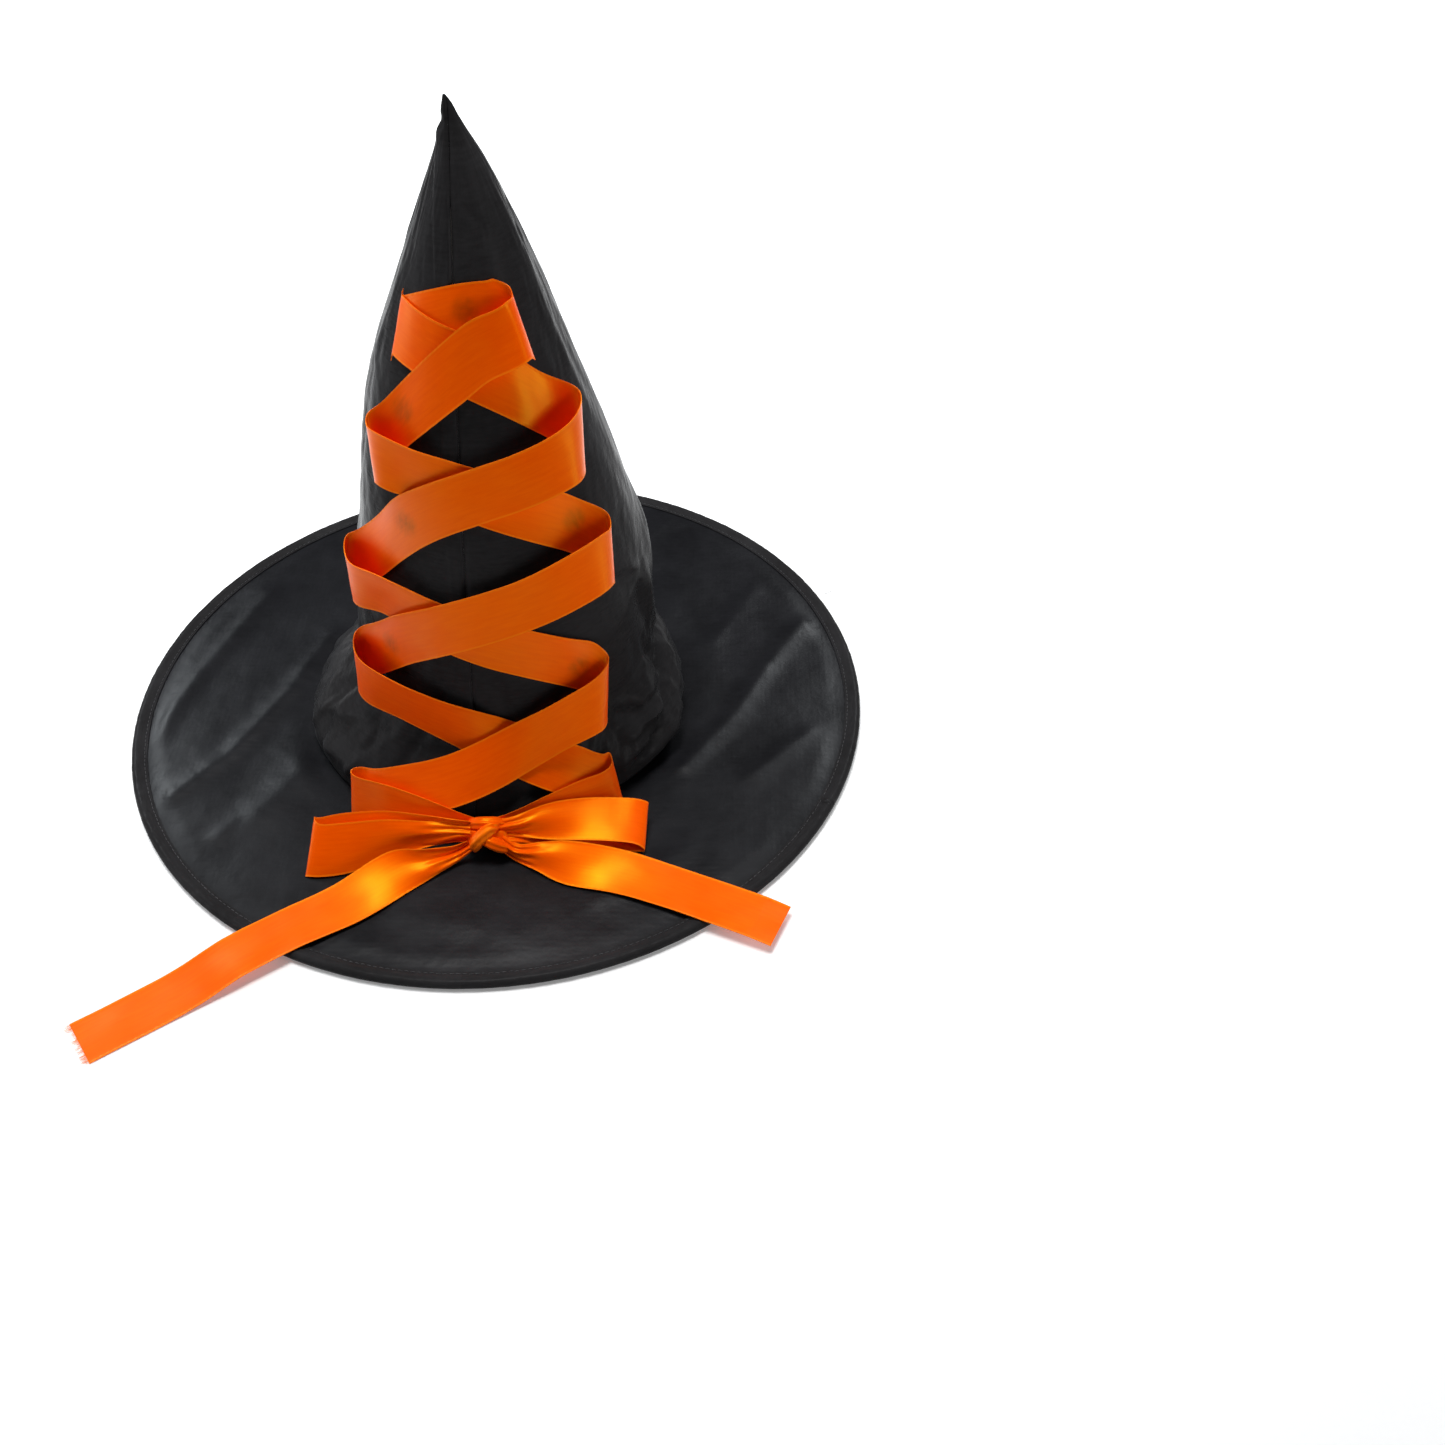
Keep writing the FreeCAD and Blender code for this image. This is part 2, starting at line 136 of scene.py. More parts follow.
# Creases of the crown: (phi, height) along each, then width and height of the ridge; a hollow's height is negative.
CREASES = (
    (((40, 309), (67, 299), (69, 282), (72, 265), (73, 246), (75, 225), (77, 202), (81, 180)), 5, 1.3),
    (((77, 106), (82, 77), (96, 44)), 7, 3),
    (((70, 100), (74, 78), (84, 50)), 6, -2.5),
    (((60, 48), (65, 38), (72, 51)), 5, 1.8),
    (((44, 128), (51, 123), (65, 114), (76, 104)), 3, 1.3),
    (((46, 119), (56, 112), (68, 101)), 4, -1.2),
    (((36, 98), (40, 92), (44, 87)), 3, 0.8),
    (((113, 33), (94, 33), (81, 23), (65, 12), (52, 8), (44, 7)), 5, 3.2),
    (((112, 41), (94, 42), (77, 35), (67, 27), (57, 19), (46, 13)), 3, -3.4),
    (((70, 24), (58, 23), (48, 21), (42, 16)), 2.6, 2),
    (((70, 30), (60, 31), (48, 28)), 2, 2.8),
    (((44, 43), (52, 38), (62, 34), (74, 35)), 1.9, -2.9),
    (((-73, 20), (-64, 32), (-51, 38), (-43, 32)), 4, 2.6),
    (((-76, 30), (-66, 42), (-52, 48), (-40, 42)), 4, -2.2),
    (((-65, 11), (-57, 6), (-47, 7), (-41, 10)), 2.6, -2.8),
    (((-73, 8), (-60, 14), (-48, 19), (-41, 16)), 5, 2.2),
    (((-75, 60), (-82, 45), (-92, 32), (-98, 18)), 5, 2.6),
    (((-86, 66), (-97, 48), (-108, 34), (-118, 14)), 4, -2.4),
    (((-20, 22), (-8, 15), (6, 11), (20, 13)), 4, 2),
    (((-16, 31), (0, 24), (16, 22), (30, 25)), 3.5, -2),
    (((103, 137), (100, 118), (92, 105), (87, 84)), 6, 1.6),
    (((112, 128), (108, 112), (101, 96)), 5, -1.6),
    (((-88, 150), (-94, 122), (-90, 96)), 7, 1.4),
    (((130, 60), (140, 40), (150, 18)), 6, 3),
    (((146, 66), (158, 46), (165, 24)), 5, -2.4),
    (((-130, 62), (-140, 40), (-148, 18)), 6, 3),
    (((-150, 60), (-162, 40), (-172, 16)), 6, 2.4),
    (((170, 120), (178, 96), (186, 80)), 8, 1.6),
    (((-60, 262), (-68, 240), (-72, 214)), 5, 0.9),
    (((-130, 315), (-75, 316), (-10, 315)), 1.8, -6),
    (((-120, 310.5), (-75, 311.5), (-30, 310.5)), 2.8, 3.2),
)
# Random creases, sharp ones round the foot and fainter ones up the cone: how many, and the ranges or spreads of
# height, half length, tilt and turn in radians, width, and height of the ridge.
RANDOM_CREASES = ((64, (10, 92), (5, 15), 0.75, 0.35, (1.5, 2.6), (0.6, 1.4)),
                  (34, (90, 290), (10, 34), 0.4, 0.15, (1.6, 3.2), (0.25, 0.55)))
LACED_RELIEF = 0.35   # folds under the lacing are held down to about this height
GLUE_REACH = 7   # the cloth is flat this far round a spot of glue


def crown_point(phi, z, standoff, radius=None):
    """Point at that stand-off from the crown, or from another radius round its axis."""
    angle = np.radians(phi)
    reach = (crown_radius(z) if radius is None else radius) + standoff
    return stack(crown_axis(z) + reach * np.sin(angle), -reach * np.cos(angle), z)


def up_the_side(phi, z, lean):
    """Direction up the crown's side; lean tips its top away from the crown, in degrees."""
    angle, lean = np.radians(phi), np.radians(lean)[..., None]
    reach = 6.0
    low = crown_point(phi, np.maximum(z - reach, 0), 0)
    high = crown_point(phi, np.minimum(z + reach, CROWN_HEIGHT), 0)
    up = unit(high - low)
    out = stack(np.sin(angle), -np.cos(angle), 0)
    out = unit(out - up * (out * up).sum(-1, keepdims=True))
    return unit(np.cos(lean) * up + np.sin(lean) * out)


def around(phi):
    """Angle as -180 to 180 degrees."""
    return (phi + 180) % 360 - 180


def round_noise(phi, z, cells, tall, seed):
    """Noise on the crown that meets itself at the back; cells is its fineness round the crown, tall its height."""
    angle = np.radians(phi)
    return noise_at(stack(cells * np.sin(angle), -cells * np.cos(angle), z / tall + seed))


def crease(phi, z, line, width, height):
    """Relief of one crease, which fades out at both ends of its line."""
    scale = np.radians(1) * crown_radius(z)
    shape = np.zeros_like(phi)
    segments = len(line) - 1
    for i, ((phi_a, z_a), (phi_b, z_b)) in enumerate(zip(line, line[1:])):
        dx, dz = around(phi - phi_a) * scale, z - z_a
        ex, ez = (phi_b - phi_a) * scale, z_b - z_a
        t = np.clip((dx * ex + dz * ez) / (ex**2 + ez**2), 0, 1)
        distance = np.hypot(dx - t * ex, dz - t * ez)
        run = (i + t) / segments
        fade = np.sqrt(smoothstep(0, 0.3, run) * smoothstep(0, 0.3, 1 - run))
        shape = np.maximum(shape, np.exp(-(distance / width) ** 1.5) * fade)
    return height * shape


def random_creases():
    made = []
    for count, heights, reaches, tilt_spread, turn_spread, widths, ridges in RANDOM_CREASES:
        for _ in range(count):
            phi, z = rng.uniform(-180, 180), rng.uniform(*heights)
            reach, tilt = rng.uniform(*reaches), rng.normal(0.5 * math.pi, tilt_spread)
            turn = rng.normal(0, turn_spread)
            width, height = rng.uniform(*widths), rng.choice((-1, 1)) * rng.uniform(*ridges)
            step = np.degrees(1 / float(crown_radius(z)))
            start = (phi - reach * math.cos(tilt - turn) * step, z - reach * math.sin(tilt - turn))
            end = (phi + reach * math.cos(tilt + turn) * step, z + reach * math.sin(tilt + turn))
            made.append(((start, (phi, z), end), width, height))
    return made


ALL_CREASES = list(CREASES) + random_creases()


def crown_relief(phi, z):
    """How far the cloth stands out from the crown's plain shape: folds, creases and wrinkles."""
    phi, z = np.broadcast_arrays(np.asarray(phi, float), np.asarray(z, float))
    puff = 1 - smoothstep(38, 95, z)
    relief = 2.4 * puff * (np.abs(round_noise(phi, z, 4.2, 46, 3)) * 2 - 0.5)
    relief += (1.5 * puff + 0.35) * round_noise(phi + 0.25 * z, z, 8, 30, 11)
    relief += (0.5 * puff + 0.2) * round_noise(phi - 0.3 * z, z, 17, 11, 23)
    relief += 1.5 * (1 - puff) * round_noise(phi, z, 1.7, 70, 31)
    for line, width, height in ALL_CREASES:
        relief = relief + crease(phi, z, line, width, height)
    laced = smoothstep(66, 50, np.abs(around(phi))) * smoothstep(20, 70, z) * smoothstep(300, 265, z)
    relief = relief - laced * np.maximum(relief - LACED_RELIEF, 0) * 0.9
    for spot_phi, spot_z in GLUE_SPOTS:
        off = np.hypot(around(phi - spot_phi) * np.radians(crown_radius(z)), z - spot_z)
        relief = relief * (1 - np.exp(-(off / GLUE_REACH) ** 4))
    return relief * np.minimum(crown_radius(z) / 22, 1) * (0.15 + 0.85 * smoothstep(FOOT_Z, 16, z))


# ---- meshes ----

def shell(name, grid, thickness, uv, closed=False):
    """Cloth of that thickness on a grid of points (rows, columns, 3); closed joins the last column to the first.
    uv is each point's place on the flat cloth, with one more column than the grid where it is closed."""
    rows, cols = grid.shape[:2]
    if closed:
        sideways = np.roll(grid, -1, 1) - np.roll(grid, 1, 1)
    else:
        sideways = np.gradient(grid, axis=1)
    normal = unit(np.cross(np.gradient(grid, axis=0), sideways))
    half = np.broadcast_to(np.asarray(thickness, float), (rows, cols))[..., None] / 2
    points = np.concatenate([(grid + normal * half).reshape(-1, 3), (grid - normal * half).reshape(-1, 3)])
    last = cols if closed else cols - 1
    i, j = np.meshgrid(np.arange(rows - 1), np.arange(last), indexing="ij")
    i, j = i.ravel(), j.ravel()
    across = (j + 1) % cols
    corner = np.stack([i * cols + j, (i + 1) * cols + j, (i + 1) * cols + across, i * cols + across], 1)
    place = np.stack([uv[i, j], uv[i + 1, j], uv[i + 1, j + 1], uv[i, j + 1]], 1)
    under = rows * cols
    faces, places = [corner, corner[:, ::-1] + under], [place, place[:, ::-1]]

    def wall(a, b, uv_a, uv_b):
        faces.append(np.stack([a, b, b + under, a + under], 1))
        places.append(np.stack([uv_a, uv_b, uv_b, uv_a], 1))

    along = np.arange(last)
    for row in (0, rows - 1):
        wall(row * cols + along, row * cols + (along + 1) % cols, uv[row, along], uv[row, along + 1])
    if not closed:
        up = np.arange(rows - 1)
        for col in (0, cols - 1):
            wall(up * cols + col, (up + 1) * cols + col, uv[up, col], uv[up + 1, col])
    return mesh_object(name, points, np.concatenate(faces), np.concatenate(places))


def mesh_object(name, points, faces, places):
    """Object from points in mm, four-cornered faces and each corner's place on the flat cloth in mm."""
    mesh = bpy.data.meshes.new(name)
    mesh.from_pydata((np.asarray(points) * MM).tolist(), [], np.asarray(faces).tolist())
    layer = mesh.uv_layers.new(name="cloth")
    layer.data.foreach_set("uv", (np.asarray(places, float) * MM).ravel())
    made = bmesh.new()
    made.from_mesh(mesh)
    bmesh.ops.recalc_face_normals(made, faces=made.faces)
    made.to_mesh(mesh)
    made.free()
    mesh.shade_smooth()
    mesh.set_sharp_from_angle(angle=math.radians(SHARP_ANGLE))
    piece = bpy.data.objects.new(name, mesh)
    bpy.context.scene.collection.objects.link(piece)
    return piece


def tube(path, radii, sides, flutes=0, depth=0.0):
    """Points, faces and cloth places of a closed tube along a path. Its sides are an even number; flutes are
    grooves along it, their depth a share of its radius."""
    path = np.asarray(path, float)
    radii = np.broadcast_to(np.asarray(radii, float), (len(path),))
    along = unit(np.gradient(path, axis=0))
    guide = np.array([0.0, 0.0, 1.0])
    if abs(along[:, 2]).max() > 0.9:
        guide = np.array([0.3, 0.9, 0.1])
    side = unit(np.cross(along, guide))
    up = np.cross(side, along)
    angle = np.arange(sides) * 2 * math.pi / sides
    reach = radii[:, None] * (1 + depth * np.cos(flutes * angle)[None])
    rings = path[:, None] + reach[..., None] * (
        np.cos(angle)[None, :, None] * side[:, None] + np.sin(angle)[None, :, None] * up[:, None])
    points = np.concatenate([rings.reshape(-1, 3), path[:1], path[-1:]])
    run = length_along(path)
    faces, places = [], []
    round_radius = 6.3   # about 2 pi
    for i in range(len(path) - 1):
        for k in range(sides):
            n = (k + 1) % sides
            faces.append([i * sides + k, (i + 1) * sides + k, (i + 1) * sides + n, i * sides + n])
            v0, v1 = (c * radii[i] * round_radius / sides for c in (k, k + 1))
            places.append([[run[i], v0], [run[i + 1], v0], [run[i + 1], v1], [run[i], v1]])
    for ring, centre in ((0, len(points) - 2), ((len(path) - 1) * sides, len(points) - 1)):
        for k in range(0, sides, 2):
            faces.append([centre, ring + k, ring + (k + 1) % sides, ring + (k + 2) % sides])
            places.append([[0, 0]] * 4)
    return points, np.array(faces), np.array(places)


def tubes_object(name, shapes):
    """One object from what tube takes for each of its tubes."""
    points, faces, places, count = [], [], [], 0
    for shape in shapes:
        tube_points, tube_faces, tube_places = tube(*shape)
        points.append(tube_points)
        faces.append(tube_faces + count)
        places.append(tube_places)
        count += len(tube_points)
    return mesh_object(name, np.concatenate(points), np.concatenate(faces), np.concatenate(places))


# ---- materials ----

def new_material(name):
    made = bpy.data.materials.new(name)
    made.use_nodes = True
    return made, made.node_tree


def connect(tree, node, inputs):
    """Gives a node's inputs, named or numbered, a value or another node's output."""
    for key, value in dict(inputs).items():
        if isinstance(value, bpy.types.NodeSocket):
            tree.links.new(value, node.inputs[key])
        else:
            node.inputs[key].default_value = value


def add(tree, kind, inputs=(), **settings):
    made = tree.nodes.new(kind)
    for key, value in settings.items():
        setattr(made, key, value)
    connect(tree, made, inputs)
    return made


def finished(made, colour, rough, relief, others=()):
    """The material with its shader's inputs set."""
    tree = made.node_tree
    connect(tree, tree.nodes["Principled BSDF"], {
        "Base Color": colour, "Roughness": rough, "Normal": relief, **dict(others)})
    return made


def cloth_place(tree, scale=(1, 1, 1)):
    """The place on the flat cloth in m, times scale."""
    where = add(tree, "ShaderNodeUVMap", uv_map="cloth")
    return add(tree, "ShaderNodeMapping", {"Vector": where.outputs["UV"], "Scale": scale}).outputs["Vector"]


def solid_place(tree, scale=(1, 1, 1)):
    """The place in the object's own space in m, times scale."""
    where = add(tree, "ShaderNodeTexCoord")
    return add(tree, "ShaderNodeMapping", {"Vector": where.outputs["Object"], "Scale": scale}).outputs["Vector"]


def noise_value(tree, place, scale, detail=3.0, rough=0.5):
    """Noise with that many cells in a metre."""
    made = add(tree, "ShaderNodeTexNoise",
               {"Vector": place, "Scale": scale, "Detail": detail, "Roughness": rough})
    return made.outputs["Fac"]


def spread(tree, value, low, high, from_low=0.3, from_high=0.7):
    """Maps from_low to from_high, by default what noise mostly stays in, onto low to high."""
    return add(tree, "ShaderNodeMapRange", {"Value": value, "From Min": from_low, "From Max": from_high,
                                            "To Min": low, "To Max": high}).outputs["Result"]


def blend_colour(tree, share, a, b):
    """Colour a where share is 0, and b where it is 1."""
    a, b = ((*c, 1) if isinstance(c, tuple) else c for c in (a, b))
    return add(tree, "ShaderNodeMix", {0: share, 6: a, 7: b}, data_type="RGBA").outputs[2]


def brighter(colour, times_as_bright):
    return tuple(times_as_bright * c for c in colour)


def maths(tree, operation, a, b=0.0):
    return add(tree, "ShaderNodeMath", {0: a, 1: b}, operation=operation).outputs[0]


def times(tree, a, b):
    return maths(tree, "MULTIPLY", a, b)


def plus(tree, a, b):
    return maths(tree, "ADD", a, b)


def bump(tree, height, distance_mm, strength, below=None):
    """Relief of that height, on top of the relief below."""
    inputs = {"Height": height, "Distance": distance_mm * MM, "Strength": strength}
    if below is not None:
        inputs["Normal"] = below
    return add(tree, "ShaderNodeBump", inputs).outputs["Normal"]


def threads(tree, place, direction, pitch_mm, distortion=0.0):
    """Ridges of thread across one direction of the cloth."""
    waves_per_scale = 20   # about
    return add(tree, "ShaderNodeTexWave", {
        "Vector": place, "Scale": 1 / MM / pitch_mm / waves_per_scale, "Distortion": distortion, "Detail": 0.0,
    }, bands_direction=direction).outputs["Fac"]


def black_satin(name, dark, pale, rough_low, rough_high, crumple, ior):
    """Polyester satin: dark warp floats, a soft gloss that varies over the cloth, and small crumples."""
    made, tree = new_material(name)
    flat = cloth_place(tree)
    warp = threads(tree, flat, "Y", 0.5, 1.2)
    weft = threads(tree, flat, "X", 0.42, 0.6)
    patches = noise_value(tree, flat, 26.0, 4.0, 0.6)
    slubs = noise_value(tree, cloth_place(tree, (0.35, 1.6, 1)), 420.0, 2.0)
    crumples = noise_value(tree, flat, 75.0, 4.0, 0.55)
    shade = blend_colour(tree, spread(tree, patches, 0, 1), dark, pale)
    weave = plus(tree, times(tree, warp, 0.6), times(tree, weft, 0.4))
    return finished(
        made, blend_colour(tree, times(tree, slubs, 0.35), shade, brighter(pale, 2.2)),
        plus(tree, spread(tree, patches, rough_low, rough_high), times(tree, slubs, 0.05)),
        bump(tree, weave, 0.05, 0.25, bump(tree, crumples, 1.6, crumple)),
        {"IOR": ior, "Sheen Weight": 0.01, "Sheen Roughness": 0.3, "Sheen Tint": (0.55, 0.62, 0.75, 1)})


def orange_ribbon():
    """Single-faced satin ribbon: lengthwise floats, woven edges, stains of hot glue, and painted red bounce light
    in the turns.
    """
    made, tree = new_material("orange_ribbon_satin")
    flat = cloth_place(tree)
    from_middle = maths(tree, "ABSOLUTE", add(tree, "ShaderNodeSeparateXYZ", {"Vector": flat}).outputs["Y"])
    edge = spread(tree, from_middle, 0, 1, 0.0114, 0.0119)
    floats = threads(tree, flat, "Y", 0.32, 0.8)
    picks = threads(tree, flat, "X", 0.5, 0.3)
    streaks = noise_value(tree, cloth_place(tree, (0.25, 2.5, 1)), 300.0, 3.0, 0.6)
    patches = noise_value(tree, flat, 45.0, 3.0)
    glue = add(tree, "ShaderNodeAttribute", attribute_name="glue").outputs["Fac"]
    painted_bounce_red = add(tree, "ShaderNodeAttribute", attribute_name="painted_bounce_red").outputs["Fac"]
    ragged = times(tree, glue, spread(tree, noise_value(tree, flat, 260.0), 0.55, 1.25))
    colour = blend_colour(tree, spread(tree, streaks, 0, 1), (0.93, 0.08, 0.0), (0.98, 0.102, 0.0))
    # Lighter woven edges, glue stains, and painted red bounce light in the shaded insides of the lacing's turns.
    for mark, most, over in ((edge, 0.55, (1.0, 0.2, 0.005)), (ragged, 0.55, (0.4, 0.04, 0.001)),
                             (painted_bounce_red, 0.85, (1.0, 0.022, 0.0))):
        colour = blend_colour(tree, times(tree, mark, most), colour, over)
    weave = plus(tree, times(tree, floats, 0.7), times(tree, picks, 0.3))
    relief = bump(tree, weave, 0.04, 0.22, bump(tree, patches, 0.5, 0.18))
    return finished(
        made, colour, plus(tree, spread(tree, patches, 0.28, 0.38), times(tree, edge, 0.15)),
        bump(tree, times(tree, edge, picks), 0.12, 0.5, relief),
        {"Specular IOR Level": 0.6, "Specular Tint": (1.0, 0.74, 0.0, 1)})


def felt(name, colour, paler):
    """Needle felt: fine fibres, and paler clumps."""
    made, tree = new_material(name)
    place = solid_place(tree)
    fibres = noise_value(tree, place, 900.0, 5.0, 0.7)
    clumps = noise_value(tree, place, 120.0, 3.0)
    return finished(made, blend_colour(tree, spread(tree, clumps, 0, 1), colour, paler),
                    spread(tree, fibres, 0.85, 1.0), bump(tree, fibres, 0.5, 0.6), {"Sheen Weight": 0.3})


def grained(name, stretch, cells, detail, colours, rough, relief, others=()):
    """Material whose colour, roughness and relief follow one noise."""
    made, tree = new_material(name)
    grain = noise_value(tree, solid_place(tree, stretch), cells, detail)
    return finished(made, blend_colour(tree, grain, *colours), spread(tree, grain, *rough),
                    bump(tree, grain, *relief), others)


def metal(name, colour, roughness, stretch):
    return grained(name, stretch, 60.0, 3.0, (colour, brighter(colour, 0.7)), (roughness, roughness + 0.15),
                   (0.1, 0.3), {"Metallic": 1.0})


def hot_glue():
    return grained("hot_melt_glue", (1, 1, 1), 300.0, 3.0, ((0.8, 0.75, 0.6), (0.62, 0.56, 0.42)),
                   (0.25, 0.4), (0.3, 0.4))


def thread_material(name, colour):
    return grained(name, (1, 1, 1), 2500.0, 2.0, (colour, brighter(colour, 1.8)), (0.4, 0.6), (0.1, 0.5))


def ribbed_tape():
    """Grosgrain tape: ribs across its length, and worn patches."""
    made, tree = new_material("black_ribbed_tape")
    flat = cloth_place(tree)
    ribs = threads(tree, flat, "X", 1.1, 0.3)
    wear = noise_value(tree, flat, 90.0)
    return finished(made, blend_colour(tree, wear, (0.012, 0.012, 0.014), (0.035, 0.035, 0.038)),
                    spread(tree, wear, 0.55, 0.75), bump(tree, ribs, 0.4, 0.8), {"Sheen Weight": 0.2})


# Lit and shaded copies of one black satin: the crown's and hem's base colour is raised as painted light, and the
# brim top's copy is about three times darker as painted shade.
SATIN = black_satin("black_satin", (0.011, 0.0105, 0.0106), (0.020, 0.0194, 0.0204), 0.2, 0.3, 0.5, 1.075)
SHADED_BRIM_SATIN = black_satin("black_satin_brim_painted_shade", (0.003, 0.003, 0.0036), (0.0065, 0.0065, 0.008),
                         0.28, 0.38, 0.2, 1.23)
LINING = black_satin("black_lining", (0.006, 0.006, 0.007), (0.016, 0.016, 0.018), 0.5, 0.65, 0.2, 1.24)
RIBBON = orange_ribbon()
FELT = felt("off_white_felt", (0.55, 0.54, 0.5), (0.64, 0.63, 0.59))
TAPE = ribbed_tape()
BLACK_THREAD = thread_material("black_thread", (0.014, 0.014, 0.016))
ORANGE_THREAD = thread_material("orange_fibres", (0.85, 0.2, 0.02))


def dress(piece, material, body=None, replaces=()):
    """Gives a piece its material and slot, the body that it rides and the CAD nodes that it replaces."""
    piece.data.materials.clear()
    piece.data.materials.append(material)
    if replaces:
        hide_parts(*replaces)
    if body:
        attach(piece, body)
    return piece


# ---- crown ----

CROWN_COLUMNS, FELT_COLUMNS = 196, 150
SEAM_GAP = 0.12   # between the two halves of the crown


def crown_rows():
    """Heights of the crown's rows of points, close together in the tuck."""
    low = [FOOT_Z, 3.75, 4.0, 4.4, 5.0, 5.8, 6.8, 8.0, 9.4, 11.0, 12.8]
    return np.concatenate([low, np.arange(14.4, CROWN_HEIGHT, 1.6), [CROWN_HEIGHT]])


def crown_base(z):
    """Radius of the crown with the tuck at its foot."""
    return np.where(z < TUCK_TOP, crown_foot(z), crown_radius(z))


def crown_half(name, side):
    """Half of the crown to one side of the front and back seams, where its edges turn in, and its area."""
    z = crown_rows()[:, None]
    seam_x = SEAM_X_BASE + (SEAM_X_TOP - SEAM_X_BASE) * z / CROWN_HEIGHT
    front = np.degrees(np.arcsin(np.clip((seam_x - crown_axis(z)) / crown_radius(z), -0.8, 0.8)))
    t = np.linspace(0, 1, CROWN_COLUMNS)[None]
    t = t - 0.012 * np.sin(2 * math.pi * t)
    gap = np.degrees(SEAM_GAP / np.maximum(crown_radius(z), 1))
    span = 180 - 2 * front if side > 0 else 180 + 2 * front
    phi = front + side * (gap + t * (span - 2 * gap))
    to_seam = np.radians(np.minimum(t, 1 - t) * span) * crown_radius(z)
    relief = crown_relief(phi, z)
    pucker = noise_at(stack(z / 5, to_seam / 8, side * 9.0))
    relief = relief - 0.75 * np.exp(-(to_seam / 1.1) ** 2)
    relief = relief + 0.3 * pucker * smoothstep(0, 3, to_seam) * np.exp(-(to_seam / 9) ** 2)
    if side < 0:   # the seam's allowances lie under the left half, and show as a ridge
        allowance = smoothstep(7.8, 6.6, to_seam) * smoothstep(0, 1.5, to_seam) * (t < 0.5)
        relief = relief + 0.4 * allowance * smoothstep(60, 90, z) * smoothstep(318, 300, z)
    grid = crown_point(phi, z, relief * smoothstep(FOOT_Z, 7, z), crown_base(z))
    uv = stack(np.radians(phi) * crown_radius(z), z)
    girth = np.radians(span) * crown_radius(z)
    return shell(name, grid, SATIN_THICK, uv), float(np.trapz(girth[:, 0], z[:, 0]))


def crown_stiffening():
    """The felt behind the satin, from the foot to where the unstiffened tip starts."""
    z = np.concatenate([[4.0, 5.5, 7.5, 10], np.arange(13, 270, 3.0)])[:, None]
    phi = np.linspace(0, 360, FELT_COLUMNS, endpoint=False)[None]
    grid = crown_point(phi, z, crown_relief(around(phi), z) - 1.75, crown_base(z))
    wide = np.radians(np.linspace(0, 360, FELT_COLUMNS + 1))[None] * crown_radius(z)
    return shell("crown_felt", grid, FELT_THICK, stack(wide, z), closed=True)


for half_name, half_side, half_nodes in (("crown_left", -1, ("crown_panel_left",)),
                                         ("crown_right", 1, ("crown_panel_right", "crown_tip"))):
    half, half_area = crown_half(half_name, half_side)
    dress(half, SATIN, replaces=half_nodes)
    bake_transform(half)
crown_felt = dress(crown_stiffening(), FELT, "hat", ("crown_stiffener",))


# ---- brim ----

BRIM_INNER, BRIM_OUTER = 89.5, 184.5   # radii of its two fabrics
BRIM_TOP_Z, BRIM_UNDERSIDE_Z = 3.22, 0.8
# Long soft waves of the brim: two ends in plan, width and height of each.
BRIM_WAVES = (
    ((-163, -80), (-134, -42), 6, 1.3), ((-134, -42), (-112, 6), 6, 1.5), ((-112, 6), (-98, 49), 6, 1.2),
    ((-176, -31), (-164, 18), 6, 1.2), ((-164, 18), (-140, 84), 6, 1.2),
    ((-112, -84), (-92, -50), 11, 1.4), ((-128, -100), (-104, -60), 5, 0.8),
    ((99, -53), (124, -16), 6, 1.5), ((124, -16), (141, 21), 6, 1.5), ((141, 21), (162, 56), 6, 1.2),
    ((134, -59), (162, -30), 6, 1.1), ((112, 40), (134, 84), 7, 0.8), ((60, 120), (84, 150), 8, 0.8),
    ((-60, 118), (-80, 152), 8, 0.8), ((0, 126), (6, 166), 9, 0.7), ((-30, -150), (22, -160), 9, 0.5),
    ((60, -140), (96, -112), 7, 0.5),
)


def brim_relief(x, y):
    """Waves and ripples of the upper fabric, which end at the crown and the hem."""
    relief = np.zeros_like(x)
    for (x0, y0), (x1, y1), width, height in BRIM_WAVES:
        ex, ey = x1 - x0, y1 - y0
        t = np.clip(((x - x0) * ex + (y - y0) * ey) / (ex**2 + ey**2), 0, 1)
        away = np.hypot(x - x0 - t * ex, y - y0 - t * ey)
        relief = np.maximum(relief, height * np.exp(-(away / width) ** 1.6))
    coarse, fine = noise_at(stack(x / 34, y / 34, 5)), noise_at(stack(x / 9, y / 9, 15))
    relief = relief + 0.5 + 0.55 * coarse + 0.10 * fine
    radius = np.hypot(x, y)
    return np.maximum(relief, 0) * smoothstep(94, 112, radius) * smoothstep(181.5, 172, radius)


def underside_relief(x, y):
    return 0.12 * noise_at(stack(x / 20, y / 20, 40)) * smoothstep(181, 172, np.hypot(x, y))


def whole_turn(columns):
    """Row of angles in radians from the front all the way round."""
    return np.linspace(0, 2 * math.pi, columns, endpoint=False)[None]


def round_brim(radius, angle, z):
    """Points round the middle of the brim; angle 0 is the front and positive angles are to +X."""
    return stack(radius * np.sin(angle), -radius * np.cos(angle), z)


def flat_ring(name, height, relief_of, columns, step):
    """One fabric of the brim, with rows of points about step apart."""
    radii = np.linspace(BRIM_INNER, BRIM_OUTER, int((BRIM_OUTER - BRIM_INNER) / step) + 1)[:, None]
    grid = round_brim(radii, whole_turn(columns), height)
    grid[..., 2] += relief_of(grid[..., 0], grid[..., 1])
    uv = np.concatenate([grid[..., :2], grid[:, :1, :2]], 1)
    return shell(name, grid, BRIM_CLOTH_THICK, uv, closed=True)


brim_top = flat_ring("brim_top", BRIM_TOP_Z, brim_relief, 420, 1.9)
dress(brim_top, SHADED_BRIM_SATIN, "hat", ("brim_top_fabric",))
brim_underside = flat_ring("brim_underside", BRIM_UNDERSIDE_Z, underside_relief, 300, 3.0)
dress(brim_underside, LINING, "hat", ("brim_underside_fabric",))

